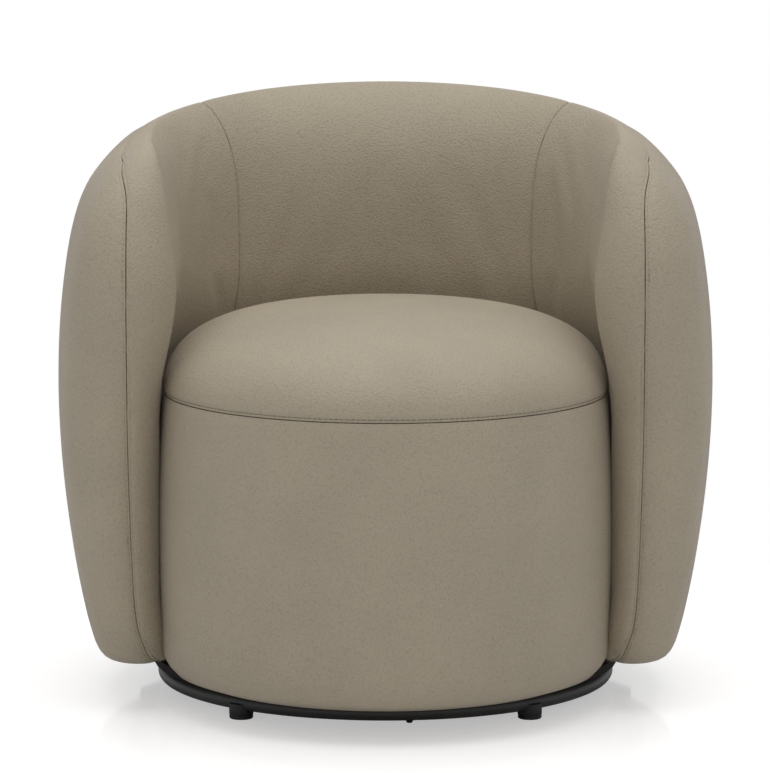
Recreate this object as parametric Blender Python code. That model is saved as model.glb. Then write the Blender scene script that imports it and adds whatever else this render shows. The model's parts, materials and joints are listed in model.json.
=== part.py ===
"""Swivel accent chair: a round tub chair that turns on a low ring base.

Metres, +Z up. The origin is on the floor, on the swivel axis. The chair faces -Y and is the
same on both sides of X = 0. A C-shaped upholstered shell (arms and back in one) stands round a
drum-shaped seat. Both are carried by a plinth board on a ball-bearing swivel, inside a ring of tube.
"""
import math

import bmesh
import bpy
from mathutils import Matrix, Vector

# Clearances and small values shared by many pieces
FIT_GAP = 0.0003          # between pieces that rest on each other
SEAM_GAP = 0.0012         # between the edges of two covers at a seam
CUT_OVERRUN = 0.004       # how far a cutter runs past what it cuts
MERGE_SHARE = 0.01        # merge distance as a share of the fit gap

# Shell: the C-shaped body of arms and back
SHELL_HALF_WIDTH = 0.4005
WALL_MID_DEPTH = 0.0655   # from the widest point in to the line that runs in the middle of the wall
SHELL_CENTRE_Y = -0.0105
SHELL_FRONT_REACH = 0.57  # depth of the ellipse that the wall follows in front of its centre
NOSE_CENTRE_DEPTH = 0.166 # how far in front of the shell's centre the nose rounding starts
NOSE_LENGTH_SHARE = 1.05  # length of the nose rounding over half the wall
SHELL_BOTTOM = 0.045
SHELL_WAIST = 0.385       # height of the widest point
SIDE_CREST = 0.690
BACK_CREST = 0.706
SIDE_CREST_DEPTH = 0.1005 # from the widest point in to the rim's highest line, at the sides
BACK_CREST_DEPTH = 0.0725 # the same at the back
BOTTOM_DRAW_IN = 0.0441   # from the widest point in to the outer side's bottom
SHOULDER_POWER = 2.9
SHOULDER_ROUND_SHARE = 0.8
WALL_LOW = 0.1125         # from the widest point in to the inner face beside the drum
WALL_HIGH = 0.1375        # the same above the seat
SWELL_BELOW_SEAM = 0.0307 # the inner face starts to swell in over the drum this far below its seam
SWELL_ABOVE_SEAM = 0.0593 # and is full this far above it
SHOULDER_ABOVE_SEAM = 0.0943
INNER_SHOULDER_POWER = 4.0
BOTTOM_EDGE_RADIUS = 0.020
NOSE_SET_BACK = 0.045     # how far the nose falls back at its top and bottom
NOSE_SET_BACK_HEIGHT = 0.085
INSIDE_SEAM_TURN = math.radians(45)

# Upholstery
COVER = 0.0012            # thickness of the leather-like cover
COVER_BACKING_GAP = 0.0013
ROLL_EASE = 0.0010        # further room over the rim roll, where the cover bends sharply

# Shell frame
FRAME_HALF = 0.018        # half the width of the rails and posts
BOARD = 0.003             # hardboard on both sides of the frame
FRAME_BOTTOM = 0.066
FRAME_RAIL = 0.018        # height of the bottom rail and the top rail
FRAME_POST = 0.030        # length of a post along the wall
FRAME_SET_BACK = 0.020    # from the start of the nose rounding to the frame's front end
RIB_TURN = math.radians(36)
INNER_BOARD_BOTTOM = 0.300
NOSE_PAD_REACH = 0.006    # how far the padding's inner face runs round the arm post
BLOCK_WIDTH = 0.017       # blocks that carry the shell, across the wall
BLOCK_LENGTH = 0.060
BLOCK_SHIFT = 0.0105      # how far a block's middle stands inside the wall's middle line
BLOCK_TURN = math.radians(62)

# Seat drum
DRUM_FRONT_CENTRE_Y = -0.110
DRUM_REAR_CENTRE_Y = -0.012
DRUM_SIDE_GAP = 0.0008    # between the shell's inner face and the drum where they come nearest
DRUM_SEAM_DRAW = 0.012    # how far the side draws in to the seat seam
DRUM_FOOT_DRAW = 0.018    # the same to the foot
DRUM_TUCK = 0.058         # how far in the cover is tacked under the foot
DRUM_EDGE_RADIUS = 0.024
DRUM_WIDEST_HEIGHT = 0.235
SEAT_SEAM = 0.3757
SEAT_CROWN = 0.081        # rise of the seat above its seam
CROWN_POWER = 3.2
CROWN_ROUND = 2.1
HOOP_DEPTH = 0.042        # from the drum's widest point in to the hoops
HOOP_WIDTH = 0.055
HOOP_THICKNESS = 0.018
FOAM_BELOW_SEAM = 0.0577  # from the seat seam down to the top of the upper hoop
DRUM_POST = 0.030
WEBBING_WIDTH = 0.050
WEBBING = 0.002
WEBBING_PITCH = 0.110
WEBBING_SIDE_COUNT = 1    # straps on each side of the middle one
WEBBING_END_INSET = 0.006

# Plinth and swivel
PLINTH_OVERHANG = 0.005   # how far the plinth board stands out past the drum and the ring
PLINTH_THICKNESS = 0.010
PLATE = 0.002
PLATE_SIDE = 0.176
PLATE_CORNER = 0.020
PLATE_CORNER_STEPS = 3
PLATE_HOLE_RADIUS = 0.038
RACE_RADIUS = 0.060
RACE_HALF_WIDTH = 0.0066
RACE_HEIGHT = 0.0021
BALL_RADIUS = 0.0032
BALL_CLEARANCE = 0.0004
GROOVE_STEPS = 4
BALLS = 12
CAGE = 0.0011
CAGE_HALF_WIDTH = 0.0064
PLATE_SPACE = 0.0077      # between the two plates
BOLT_CIRCLE_RADIUS = 0.104
BOLT_SHANK_RADIUS = 0.003
BOLT_HOLE_CLEARANCE = 0.0005
BOLT_HEAD_RADIUS = 0.0058
BOLT_HEAD = 0.0021
BOLT_CROWN_SHARE = 0.7
BOLT_TURN = math.radians(39.5)
UPPER_BOLT_LENGTH = 0.0145

# Base
TUBE_RADIUS = 0.0095
FOOT_HEIGHT = 0.010
FOOT_RADIUS = 0.0145
FOOT_EDGE = 0.0025
FOOT_STEM_RADIUS = 0.004
FOOT_STEM_CLEARANCE = 0.0003
FOOT_STEM = 0.009
FOOT_TURN = math.radians(39.5)
BAR_WIDTH = 0.032
BAR = 0.008
BAR_BOTTOM = 0.012
RING_SCREW_TURN = math.radians(6.0)
RING_SCREW_HEAD_RADIUS = 0.004
RING_SCREW_HEAD = 0.0028
RING_SCREW_SHANK_RADIUS = 0.0018
RING_SCREW_LENGTH = 0.006

# Mesh fineness
BACK_STEPS = 8            # round each half of the back, from its centre to the side
ARM_STEPS = 2
ROOM_STEPS = 8
NOSE_STEPS = 4
DRUM_FRONT_STEPS = 18
DRUM_REAR_STEPS = 12
DRUM_CORNER_STEPS = 3
DRUM_SIDE_STEPS = 4
DRUM_POSTS = 4
RING_STEPS = 56
TUBE_SIDES = 8
RACE_STEPS = 32
BOLT_SIDES = 10
FOOT_SIDES = 16

# Heights of the shell's rows, as shares of the way from its bottom to its crest
ROW_SHARES = (0.0, 0.012, 0.031, 0.12, 0.26, 0.42, 0.54, 0.61, 0.72, 0.82, 0.89, 0.945, 0.98, 0.996)
INNER_HEM_ROW = 5         # the inside covers end at this row behind the drum
RIM_ROW = 9               # the rim roll stands on this row
SEAM_ROW = 11             # the top seam runs along this row of the outer side
CROWN_SHARES = (1.0, 0.985, 0.95, 0.88, 0.76, 0.58, 0.32)

SHELL_WALL_MID = SHELL_HALF_WIDTH - WALL_MID_DEPTH
SIDE_CREST_RADIUS = SHELL_HALF_WIDTH - SIDE_CREST_DEPTH
BACK_CREST_RADIUS = SHELL_HALF_WIDTH - BACK_CREST_DEPTH
INNER_WALL_LOW = SHELL_HALF_WIDTH - WALL_LOW
INNER_WALL_HIGH = SHELL_HALF_WIDTH - WALL_HIGH


def drum_room():
    """The largest radius of a drum that the shell's inner face leaves room for, round to the noses."""
    room = INNER_WALL_LOW
    for step in range(ROOM_STEPS + 1):
        swing = math.asin(NOSE_CENTRE_DEPTH / SHELL_FRONT_REACH) * step / ROOM_STEPS
        middle = Vector((SHELL_WALL_MID * math.cos(swing), SHELL_FRONT_REACH * math.sin(swing)))
        outward = Vector((middle.x / SHELL_WALL_MID ** 2, middle.y / SHELL_FRONT_REACH ** 2)).normalized()
        face = middle - outward * (WALL_LOW - WALL_MID_DEPTH)
        beyond = max(face.y + DRUM_FRONT_CENTRE_Y - SHELL_CENTRE_Y, 0.0)
        room = min(room, math.hypot(face.x, beyond))
    return room


DRUM_RADIUS = drum_room() - DRUM_SIDE_GAP
SIDE_BULGE_RADIUS = (SHELL_WAIST - SHELL_BOTTOM) ** 2 / (2 * BOTTOM_DRAW_IN)
DRUM_SEAM_RADIUS = DRUM_RADIUS - DRUM_SEAM_DRAW
DRUM_FOOT_RADIUS = DRUM_RADIUS - DRUM_FOOT_DRAW
DRUM_UNDER_RADIUS = DRUM_RADIUS - DRUM_TUCK
HOOP_RADIUS = DRUM_RADIUS - HOOP_DEPTH
PLINTH_RADIUS = DRUM_RADIUS + PLINTH_OVERHANG
RING_OUTER_RADIUS = DRUM_RADIUS
INNER_SWELL_START = SEAT_SEAM - SWELL_BELOW_SEAM
INNER_SWELL_END = SEAT_SEAM + SWELL_ABOVE_SEAM
INNER_SHOULDER_START = SEAT_SEAM + SHOULDER_ABOVE_SEAM
UPPER_HOOP_TOP = SEAT_SEAM - FOAM_BELOW_SEAM
BEARING_BOTTOM = BAR_BOTTOM + BAR + FIT_GAP
LOWER_PLATE_TOP = BEARING_BOTTOM + PLATE
UPPER_PLATE_BOTTOM = LOWER_PLATE_TOP + PLATE_SPACE
BALL_HEIGHT = LOWER_PLATE_TOP + PLATE_SPACE / 2
PLINTH_BOTTOM = UPPER_PLATE_BOTTOM + PLATE + FIT_GAP
PLINTH_TOP = PLINTH_BOTTOM + PLINTH_THICKNESS
DRUM_BOTTOM = PLINTH_TOP + FIT_GAP
RING_RADIUS = RING_OUTER_RADIUS - TUBE_RADIUS
RING_HEIGHT = FOOT_HEIGHT + TUBE_RADIUS
TUBE_CORNER_RADIUS = TUBE_RADIUS / math.cos(math.pi / TUBE_SIDES)
PADDING_INSET = COVER + COVER_BACKING_GAP
ROLL_INSET = PADDING_INSET + ROLL_EASE
NOSE_TURN = math.pi / 2 + math.asin(NOSE_CENTRE_DEPTH / SHELL_FRONT_REACH)
NOSE_GAP_SWING = SEAM_GAP / (SHELL_HALF_WIDTH - INNER_WALL_LOW)
FRAME_END_TURN = NOSE_TURN - FRAME_SET_BACK / SHELL_FRONT_REACH


# Scene, materials and meshes

def clear_scene():
    """Remove the objects of the scene that Blender starts with."""
    for item in list(bpy.data.objects):
        bpy.data.objects.remove(item, do_unlink=True)


def material(name, colour, roughness, metallic=0.0):
    """A Principled material."""
    finish = bpy.data.materials.new(name)
    finish.use_nodes = True
    shader = finish.node_tree.nodes["Principled BSDF"]
    shader.inputs["Base Color"].default_value = (*colour, 1.0)
    shader.inputs["Roughness"].default_value = roughness
    shader.inputs["Metallic"].default_value = metallic
    return finish


def cover_finish(name):
    """Matte warm taupe leather-like cover."""
    return material(name, (0.38, 0.32, 0.24), 0.62)


def black_steel(name):
    """Satin black powder-coated steel."""
    return material(name, (0.03, 0.03, 0.032), 0.45, 0.6)


def bright_steel(name):
    """Zinc-plated steel."""
    return material(name, (0.62, 0.62, 0.6), 0.35, 1.0)


def plywood(name):
    """Bare birch plywood and frame wood."""
    return material(name, (0.72, 0.55, 0.36), 0.7)


def foam(name):
    """Pale upholstery foam."""
    return material(name, (0.86, 0.83, 0.7), 0.9)


def add_object(name, mesh, finish, parent=None, smooth_angle=math.radians(35)):
    """Link a mesh to the scene as a named object with one material."""
    item = bpy.data.objects.new(name, mesh)
    mesh.materials.clear()
    mesh.materials.append(finish)
    mesh.shade_smooth()
    mesh.set_sharp_from_angle(angle=smooth_angle)
    bpy.context.scene.collection.objects.link(item)
    item.parent = parent
    return item


def mesh_from(name, points, faces):
    """A mesh from points and faces, which may fold to nothing where the form ends in a line."""
    shape = bmesh.new()
    corners = [shape.verts.new(point) for point in points]
    for face in faces:
        shape.faces.new([corners[index] for index in face])
    loose = [corner for corner in shape.verts if not corner.link_faces]
    bmesh.ops.delete(shape, geom=loose, context="VERTS")
    bmesh.ops.remove_doubles(shape, verts=shape.verts, dist=FIT_GAP * MERGE_SHARE)
    bmesh.ops.dissolve_degenerate(shape, edges=shape.edges, dist=FIT_GAP * MERGE_SHARE)
    bmesh.ops.recalc_face_normals(shape, faces=shape.faces)
    mesh = bpy.data.meshes.new(name)
    shape.to_mesh(mesh)
    shape.free()
    return mesh


def empty(name, parent=None):
    """An empty on the swivel axis that a body's pieces hang on."""
    item = bpy.data.objects.new(name, None)
    bpy.context.scene.collection.objects.link(item)
    item.parent = parent
    return item


def boolean(item, cutter, operation):
    """Cut or join with another object, which stays hidden as a tool."""
    change = item.modifiers.new(operation.title(), "BOOLEAN")
    change.operation = operation
    change.solver = "EXACT"
    change.object = cutter
    cutter.hide_render = True
    cutter.display_type = "WIRE"


# General solids

def loft(rings, close_ends=True):
    """Points and faces of a solid skinned over rings that have the same number of points."""
    count = len(rings[0])
    points = [point for ring in rings for point in ring]
    faces = []
    for row in range(len(rings) - 1):
        for index in range(count):
            near, far = row * count, (row + 1) * count
            after = (index + 1) % count
            faces.append((near + index, near + after, far + after, far + index))
    if close_ends:
        faces.append(tuple(reversed(range(count))))
        faces.append(tuple(range((len(rings) - 1) * count, len(rings) * count)))
    return points, faces


def revolve(profile, steps):
    """Points and faces of a solid turned from a closed profile of (radius, height) corners."""
    rings = []
    for step in range(steps):
        angle = 2 * math.pi * step / steps
        rings.append([Vector((r * math.cos(angle), r * math.sin(angle), z)) for r, z in profile])
    rings.append(rings[0])
    return loft(rings, close_ends=False)


def turned_solid(profile, steps):
    """Points and faces of a solid turned from a profile whose first and last radius are zero."""
    rings = []
    for radius, height in profile[1:-1]:
        angles = [2 * math.pi * step / steps for step in range(steps)]
        rings.append([Vector((radius * math.cos(a), radius * math.sin(a), height)) for a in angles])
    return loft(rings)


def disc_profile(radius, bottom, top):
    """Profile of a plain round bar or disc for a turned solid."""
    return [(0.0, bottom), (radius, bottom), (radius, top), (0.0, top)]


def cylinder(name, centre, radius, bottom, top, sides=BOLT_SIDES):
    """A mesh of an upright cylinder at a place in plan."""
    points, faces = turned_solid(disc_profile(radius, bottom, top), sides)
    return mesh_from(name, [point + Vector((centre[0], centre[1], 0.0)) for point in points], faces)


def cutter_at(name, centre, radius, bottom, top, sides=BOLT_SIDES):
    """A hidden cylinder that drills a hole."""
    item = bpy.data.objects.new(name, cylinder(name, centre, radius, bottom, top, sides))
    bpy.context.scene.collection.objects.link(item)
    return item


def on_circle(radius, turn):
    """A place in plan at an angle from the chair's front, positive to its +X side."""
    return radius * math.sin(turn), -radius * math.cos(turn)


def four_turns(turn):
    """The same angle mirrored to the front left, front right, rear right and rear left."""
    return {
        "front_left": -turn,
        "front_right": turn,
        "rear_right": math.pi - turn,
        "rear_left": math.pi + turn,
    }


# The shell's form

def wall_line(side, turn):
    """Point and outward direction on the middle line of the shell's wall.

    turn is measured from the centre of the back. The line is a circle as far as the side and an
    ellipse from there to the nose.
    """
    if turn <= math.pi / 2:
        outward = Vector((side * math.sin(turn), math.cos(turn), 0.0))
        return outward * SHELL_WALL_MID + Vector((0.0, SHELL_CENTRE_Y, 0.0)), outward
    swing = turn - math.pi / 2
    across = SHELL_WALL_MID * math.cos(swing)
    ahead = SHELL_FRONT_REACH * math.sin(swing)
    outward = Vector((side * across / SHELL_WALL_MID ** 2, -ahead / SHELL_FRONT_REACH ** 2, 0.0))
    return Vector((side * across, SHELL_CENTRE_Y - ahead, 0.0)), outward.normalized()


def back_weight(turn):
    """One at the centre of the back, falling smoothly to zero at the side."""
    return math.cos(min(turn, math.pi / 2)) ** 2


def crest_height(turn):
    """Height of the rim's highest line."""
    return SIDE_CREST + (BACK_CREST - SIDE_CREST) * back_weight(turn)


def crest_offset(turn):
    """Distance of the rim's highest line from the wall's middle line, outward positive."""
    radius = SIDE_CREST_RADIUS + (BACK_CREST_RADIUS - SIDE_CREST_RADIUS) * back_weight(turn)
    return radius - SHELL_WALL_MID


def edge_rounding(height):
    """How far the wall's faces draw in at the rounded bottom edge."""
    rise = (height - SHELL_BOTTOM) / BOTTOM_EDGE_RADIUS
    if rise >= 1.0:
        return 0.0
    return BOTTOM_EDGE_RADIUS * (1.0 - math.sqrt(1.0 - (1.0 - rise) ** 2))


def outer_offset(turn, height):
    """Distance of the outer face from the wall's middle line at a height."""
    widest = SHELL_HALF_WIDTH - SHELL_WALL_MID
    if height <= SHELL_WAIST:
        drop = (SHELL_WAIST - height) ** 2 / (2 * SIDE_BULGE_RADIUS)
        return widest - drop - edge_rounding(height)
    crest = crest_offset(turn)
    climb = min((height - SHELL_WAIST) / (crest_height(turn) - SHELL_WAIST), 1.0)
    return crest + (widest - crest) * (1.0 - climb ** SHOULDER_POWER) ** SHOULDER_ROUND_SHARE


def inner_offset(turn, height):
    """Distance of the inner face from the wall's middle line at a height, inward negative."""
    swell = (height - INNER_SWELL_START) / (INNER_SWELL_END - INNER_SWELL_START)
    swell = min(max(swell, 0.0), 1.0)
    swell = swell * swell * (3.0 - 2.0 * swell)
    wall = INNER_WALL_LOW + (INNER_WALL_HIGH - INNER_WALL_LOW) * swell - SHELL_WALL_MID
    if height <= INNER_SHOULDER_START:
        return wall + edge_rounding(height)
    climb = (height - INNER_SHOULDER_START) / (crest_height(turn) - INNER_SHOULDER_START)
    fall = (1.0 - min(climb, 1.0) ** INNER_SHOULDER_POWER) ** SHOULDER_ROUND_SHARE
    return crest_offset(turn) + (wall - crest_offset(turn)) * fall


def face_point(turn, share, inset, offset_of, outward_sign):
    """(offset, height) on one face of the wall, moved into the wall by an inset."""
    crest = crest_height(turn)
    tall = crest - SHELL_BOTTOM
    height = SHELL_BOTTOM + tall * share
    step = tall * min(0.002, 1.0 - share, share + 0.002)
    low = max(height - step, SHELL_BOTTOM)
    high = min(height + step, crest)
    along = Vector((offset_of(turn, high) - offset_of(turn, low), high - low))
    along.normalize()
    inward = Vector((-along.y, along.x)) * outward_sign
    spot = Vector((offset_of(turn, height), height)) + inward * inset
    spot.y = min(max(spot.y, SHELL_BOTTOM + inset), crest - inset)
    return spot


def nose_set_back(turn, height):
    """How far the wall falls back near the nose, at the shell's bottom and at its crest."""
    low = max(1.0 - (height - SHELL_BOTTOM) / NOSE_SET_BACK_HEIGHT, 0.0)
    high = max(1.0 - (SIDE_CREST - height) / NOSE_SET_BACK_HEIGHT, 0.0)
    share = min(max(low, high), 1.0)
    arm = max(turn - math.pi / 2, 0.0) / (NOSE_TURN - math.pi / 2)
    return NOSE_SET_BACK * (1.0 - math.sqrt(1.0 - share ** 2)) * arm


def shell_point(column, share, inset=0.0):
    """A point on the shell's skin, or on a skin inset from it.

    column is (side, turn, swing): swing is 0 on the outer face, pi on the inner face and
    between them round the nose.
    """
    side, turn, swing = column
    outer = face_point(turn, share, inset, outer_offset, 1.0)
    inner = face_point(turn, share, inset, inner_offset, -1.0)
    middle = (outer + inner) / 2
    half = (outer - inner) / 2
    lean = math.cos(swing)
    height = middle.y + half.y * lean
    ahead = half.x * NOSE_LENGTH_SHARE * math.sin(swing) - nose_set_back(turn, height)
    spot, outward = wall_line(side, turn + ahead / SHELL_FRONT_REACH)
    spot = spot + outward * (middle.x + half.x * lean)
    return Vector((spot.x, spot.y, height))


def back_turns():
    """Turns of the columns from the centre of the back to the side."""
    return [math.pi / 2 * step / BACK_STEPS for step in range(BACK_STEPS + 1)]


def frame_turns():
    """Turns of the frame's stations, from the centre of the back to the frame's front end."""
    arm = [(FRAME_END_TURN - math.pi / 2) * (step + 1) / ARM_STEPS for step in range(ARM_STEPS)]
    return back_turns() + [math.pi / 2 + swing for swing in arm]


def side_columns(side, first_turn, swing_end):
    """Columns of one side from a turn to the tip of the nose, on the outer or the inner face."""
    columns = []
    face = 0.0 if swing_end < math.pi / 2 else math.pi
    kept = [turn for turn in frame_turns() + [NOSE_TURN] if turn > first_turn + math.pi / (8 * BACK_STEPS)]
    for turn in [first_turn] + kept:
        columns.append((side, turn, face))
    for step in range(1, NOSE_STEPS + 1):
        swing = face + (swing_end - face) * step / NOSE_STEPS
        columns.append((side, NOSE_TURN, swing))
    return columns


def backing_point(column, share, inset):
    """A point on the padding's inner face, level with the skin's point of the same row."""
    side, turn, swing = column
    height = shell_point(column, share, inset).z
    height = min(max(height, FRAME_BOTTOM - FIT_GAP), frame_top(turn))
    ahead = 0.0
    if turn > FRAME_END_TURN:
        ahead = NOSE_PAD_REACH * math.sin(swing) - nose_set_back(turn, height)
    spot, outward = wall_line(side, turn + ahead / SHELL_FRONT_REACH)
    spot = spot + outward * (FRAME_HALF + BOARD + 2 * FIT_GAP) * math.cos(swing)
    return Vector((spot.x, spot.y, height))


def row_height(turn, share):
    """Height of one row of the shell at a turn."""
    return SHELL_BOTTOM + (crest_height(turn) - SHELL_BOTTOM) * share


def frame_top(turn):
    """Height of the frame's upper edge, just below the rim roll."""
    return row_height(turn, ROW_SHARES[RIM_ROW]) - FIT_GAP


def both_sides(columns):
    """Columns of the left side followed by those of the right side, tip to tip."""
    mirrored = [(-side, turn, swing) for side, turn, swing in reversed(columns)]
    return mirrored + columns[1:]


def tipward(column):
    """How near a column is to the tip of the nose, for ordering columns."""
    side, turn, swing = column
    return turn + math.pi / 2 - abs(swing - math.pi / 2)


def grid_faces(rows, columns=None, falling_from=None, keep=None):
    """Triangles over a grid of points.

    Each cell is split from its lower corner on the back's side to its upper corner on the nose's
    side, so that layers which lie on each other are split alike. Rows from falling_from on run down.
    """
    width = len(rows[0])
    faces = []
    for row in range(len(rows) - 1):
        rising = falling_from is None or row < falling_from
        for cell in range(width - 1):
            if keep is not None and not keep(row, cell):
                continue
            near, far = row * width + cell, (row + 1) * width + cell
            noseward = columns is None or tipward(columns[cell + 1]) > tipward(columns[cell])
            if noseward == rising:
                faces += [(near, near + 1, far + 1), (near, far + 1, far)]
            else:
                faces += [(near, near + 1, far), (near + 1, far + 1, far)]
    return faces


def skin(name, rows, columns=None, falling_from=None, keep=None):
    """An open sheet over rows of points."""
    points = [point for row in rows for point in row]
    return mesh_from(name, points, grid_faces(rows, columns, falling_from, keep))


def face_sheet_outward(mesh, test_point):
    """Turn a sheet over if its first face looks towards a point that lies inside the wall."""
    face = mesh.polygons[len(mesh.polygons) // 2]
    if face.normal.dot(face.center - test_point(face.center)) < 0:
        mesh.flip_normals()


def cover(name, mesh, parent):
    """A cover: a sheet with the thickness of the upholstery material on its inner side."""
    item = add_object(name, mesh, cover_finish(name), parent)
    wall = item.modifiers.new("Thickness", "SOLIDIFY")
    wall.thickness = COVER
    wall.offset = -1.0
    wall.use_even_offset = True
    return item


def pad(name, outer_rows, inner_rows, columns, parent):
    """A closed pad between an outer grid and an inner grid of the same rows and columns."""
    width, depth = len(outer_rows[0]), len(outer_rows)
    points = [point for row in outer_rows for point in row]
    points += [point for row in inner_rows for point in row]
    shift = width * depth
    faces = grid_faces(outer_rows, columns)
    faces += [tuple(shift + corner for corner in reversed(face)) for face in faces]
    rim = [column for column in range(width)]
    rim += [row * width + width - 1 for row in range(1, depth)]
    rim += [(depth - 1) * width + column for column in range(width - 2, -1, -1)]
    rim += [row * width for row in range(depth - 2, 0, -1)]
    for index, corner in enumerate(rim):
        after = rim[(index + 1) % len(rim)]
        if points[corner].z < points[after].z:
            faces += [(after, corner, shift + after), (corner, shift + corner, shift + after)]
        else:
            faces += [(after, corner, shift + corner), (after, shift + corner, shift + after)]
    return add_object(name, mesh_from(name, points, faces), foam(name), parent)


def wall_band(name, half_out, half_in, bottom_of, top_of, finish, parent):
    """A piece of the frame that follows the wall's middle line, such as a rail or a board."""
    turns = frame_turns()
    stations = [(-1.0, turn) for turn in reversed(turns[1:])] + [(1.0, turn) for turn in turns]
    sections = []
    for side, turn in stations:
        spot, outward = wall_line(side, turn)
        ring = []
        for offset, height in ((half_out, bottom_of(turn)), (half_out, top_of(turn)),
                               (half_in, top_of(turn)), (half_in, bottom_of(turn))):
            place = spot + outward * offset
            ring.append(Vector((place.x, place.y, height)))
        sections.append(ring)
    points, faces = loft(sections)
    return add_object(name, mesh_from(name, points, faces), finish, parent)


# Shell pieces

def inner_columns():
    """Columns of the inside back cover, from seam to seam."""
    last = INSIDE_SEAM_TURN - SEAM_GAP / 2 / SHELL_WALL_MID
    turns = [turn for turn in back_turns() if turn < last] + [last]
    return both_sides([(1.0, turn, math.pi) for turn in turns])


def build_shell_covers(chair):
    """The four covers of the shell, which meet along the noses, the rim and the inside seams."""
    outer = both_sides(side_columns(1.0, 0.0, math.pi / 2 - NOSE_GAP_SWING))
    shares = list(ROW_SHARES[:SEAM_ROW]) + [ROW_SHARES[SEAM_ROW] - SEAM_GAP / SIDE_CREST]
    mesh = skin("outside_cover", [[shell_point(column, share) for column in outer] for share in shares],
                outer)
    face_sheet_outward(mesh, lambda spot: Vector((0.0, SHELL_CENTRE_Y, spot.z)))
    cover("outside_cover", mesh, chair)

    over_rim = list(reversed(ROW_SHARES[SEAM_ROW:]))
    gap_turn = SEAM_GAP / 2 / SHELL_WALL_MID
    for label, side in (("left", -1.0), ("right", 1.0)):
        inner = side_columns(side, INSIDE_SEAM_TURN + gap_turn, math.pi / 2)
        first_full = len(inner) - NOSE_STEPS - 1
        rows = []
        for share in ROW_SHARES:
            tip = math.pi / 2 + (NOSE_GAP_SWING if share < ROW_SHARES[SEAM_ROW] else 0.0)
            rows.append([shell_point((s, t, max(swing, tip)), share) for s, t, swing in inner])
        for share in over_rim:
            rows.append([shell_point((s, t, math.pi - swing), share) for s, t, swing in inner])
        mesh = skin(f"inside_arm_cover_{label}", rows, inner, len(ROW_SHARES),
                    lambda row, column: row >= INNER_HEM_ROW or column >= first_full)
        face_sheet_outward(mesh, wall_spot_near)
        cover(f"inside_arm_cover_{label}", mesh, chair)

    inner = inner_columns()
    rows = [[shell_point(column, share) for column in inner] for share in ROW_SHARES[INNER_HEM_ROW:]]
    for share in over_rim:
        rows.append([shell_point((s, t, 0.0), share) for s, t, swing in inner])
    mesh = skin("inside_back_cover", rows, inner, len(ROW_SHARES) - INNER_HEM_ROW)
    face_sheet_outward(mesh, wall_spot_near)
    cover("inside_back_cover", mesh, chair)


def wall_spot_near(spot):
    """The point of the wall's middle line beside a point, at a height inside the wall."""
    side = 1.0 if spot.x >= 0 else -1.0
    ahead = SHELL_CENTRE_Y - spot.y
    if ahead > 0:
        turn = math.pi / 2 + math.asin(min(ahead / SHELL_FRONT_REACH, 1.0))
    else:
        turn = math.atan2(abs(spot.x), -ahead)
    place = wall_line(side, min(turn, NOSE_TURN))[0]
    return Vector((place.x, place.y, min(spot.z, row_height(turn, ROW_SHARES[RIM_ROW]))))


def levelled(row, columns, height_of):
    """A row of points set to the height that a function gives for each column's turn."""
    return [Vector((point.x, point.y, height_of(turn))) for point, (side, turn, swing) in zip(row, columns)]


def build_pad(name, columns, first_row, chair):
    """A pad of the wall between its cover and the frame, from a row up to the rim roll."""
    shares = ROW_SHARES[first_row:RIM_ROW + 1]
    outer = [[shell_point(column, share, PADDING_INSET) for column in columns] for share in shares]
    inner = [[backing_point(column, share, PADDING_INSET) for column in columns] for share in shares]
    outer[-1] = levelled(outer[-1], columns, frame_top)
    inner[-1] = levelled(inner[-1], columns, frame_top)
    pad(name, outer, inner, columns, chair)


def build_shell_padding(chair):
    """Padding outside, foam inside, and the roll over the rim, between the covers and the frame."""
    build_pad("outer_padding", both_sides(side_columns(1.0, 0.0, math.pi / 2 - NOSE_GAP_SWING)), 1, chair)
    gap_turn = SEAM_GAP / 2 / SHELL_WALL_MID
    for label, side in (("left", -1.0), ("right", 1.0)):
        inner = side_columns(side, INSIDE_SEAM_TURN + gap_turn, math.pi / 2 + NOSE_GAP_SWING)
        build_pad(f"inside_arm_foam_{label}", inner, 1, chair)
    build_pad("inside_back_foam", inner_columns(), INNER_HEM_ROW, chair)

    columns = both_sides(side_columns(1.0, 0.0, math.pi / 2))
    front = [[shell_point(column, share, ROLL_INSET) for column in columns]
             for share in ROW_SHARES[RIM_ROW:]]
    facing = [(side, turn, math.pi - swing) for side, turn, swing in columns]
    behind = [[shell_point(column, share, ROLL_INSET) for column in facing]
              for share in ROW_SHARES[RIM_ROW:]]
    front[0] = levelled(front[0], columns, lambda turn: frame_top(turn) + 2 * FIT_GAP)
    behind[0] = levelled(behind[0], columns, lambda turn: frame_top(turn) + 2 * FIT_GAP)
    points = [point for row in front + behind for point in row]
    shift = len(front) * len(columns)
    faces = grid_faces(front, columns)
    faces += [tuple(shift + corner for corner in reversed(face)) for face in faces]
    for base in (0, (len(front) - 1) * len(columns)):
        for cell in range(len(columns) - 1):
            near = base + cell
            faces += [(near, near + 1, shift + near + 1), (near, shift + near + 1, shift + near)]
    mesh = mesh_from("rim_roll", points, faces)
    add_object("rim_roll", mesh, foam("rim_roll"), chair)


def upright(name, side, turn, half_out, half_in, length, bottom, top, finish, parent):
    """A straight post that stands across the wall's middle line."""
    spot, outward = wall_line(side, turn)
    along = Vector((-outward.y, outward.x, 0.0)) * length / 2
    ring = []
    for height in (bottom, top):
        corners = (outward * half_out - along, outward * half_out + along,
                   outward * half_in + along, outward * half_in - along)
        ring.append([spot + corner + Vector((0.0, 0.0, height)) for corner in corners])
    points, faces = loft(ring)
    return add_object(name, mesh_from(name, points, faces), finish, parent)


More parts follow.
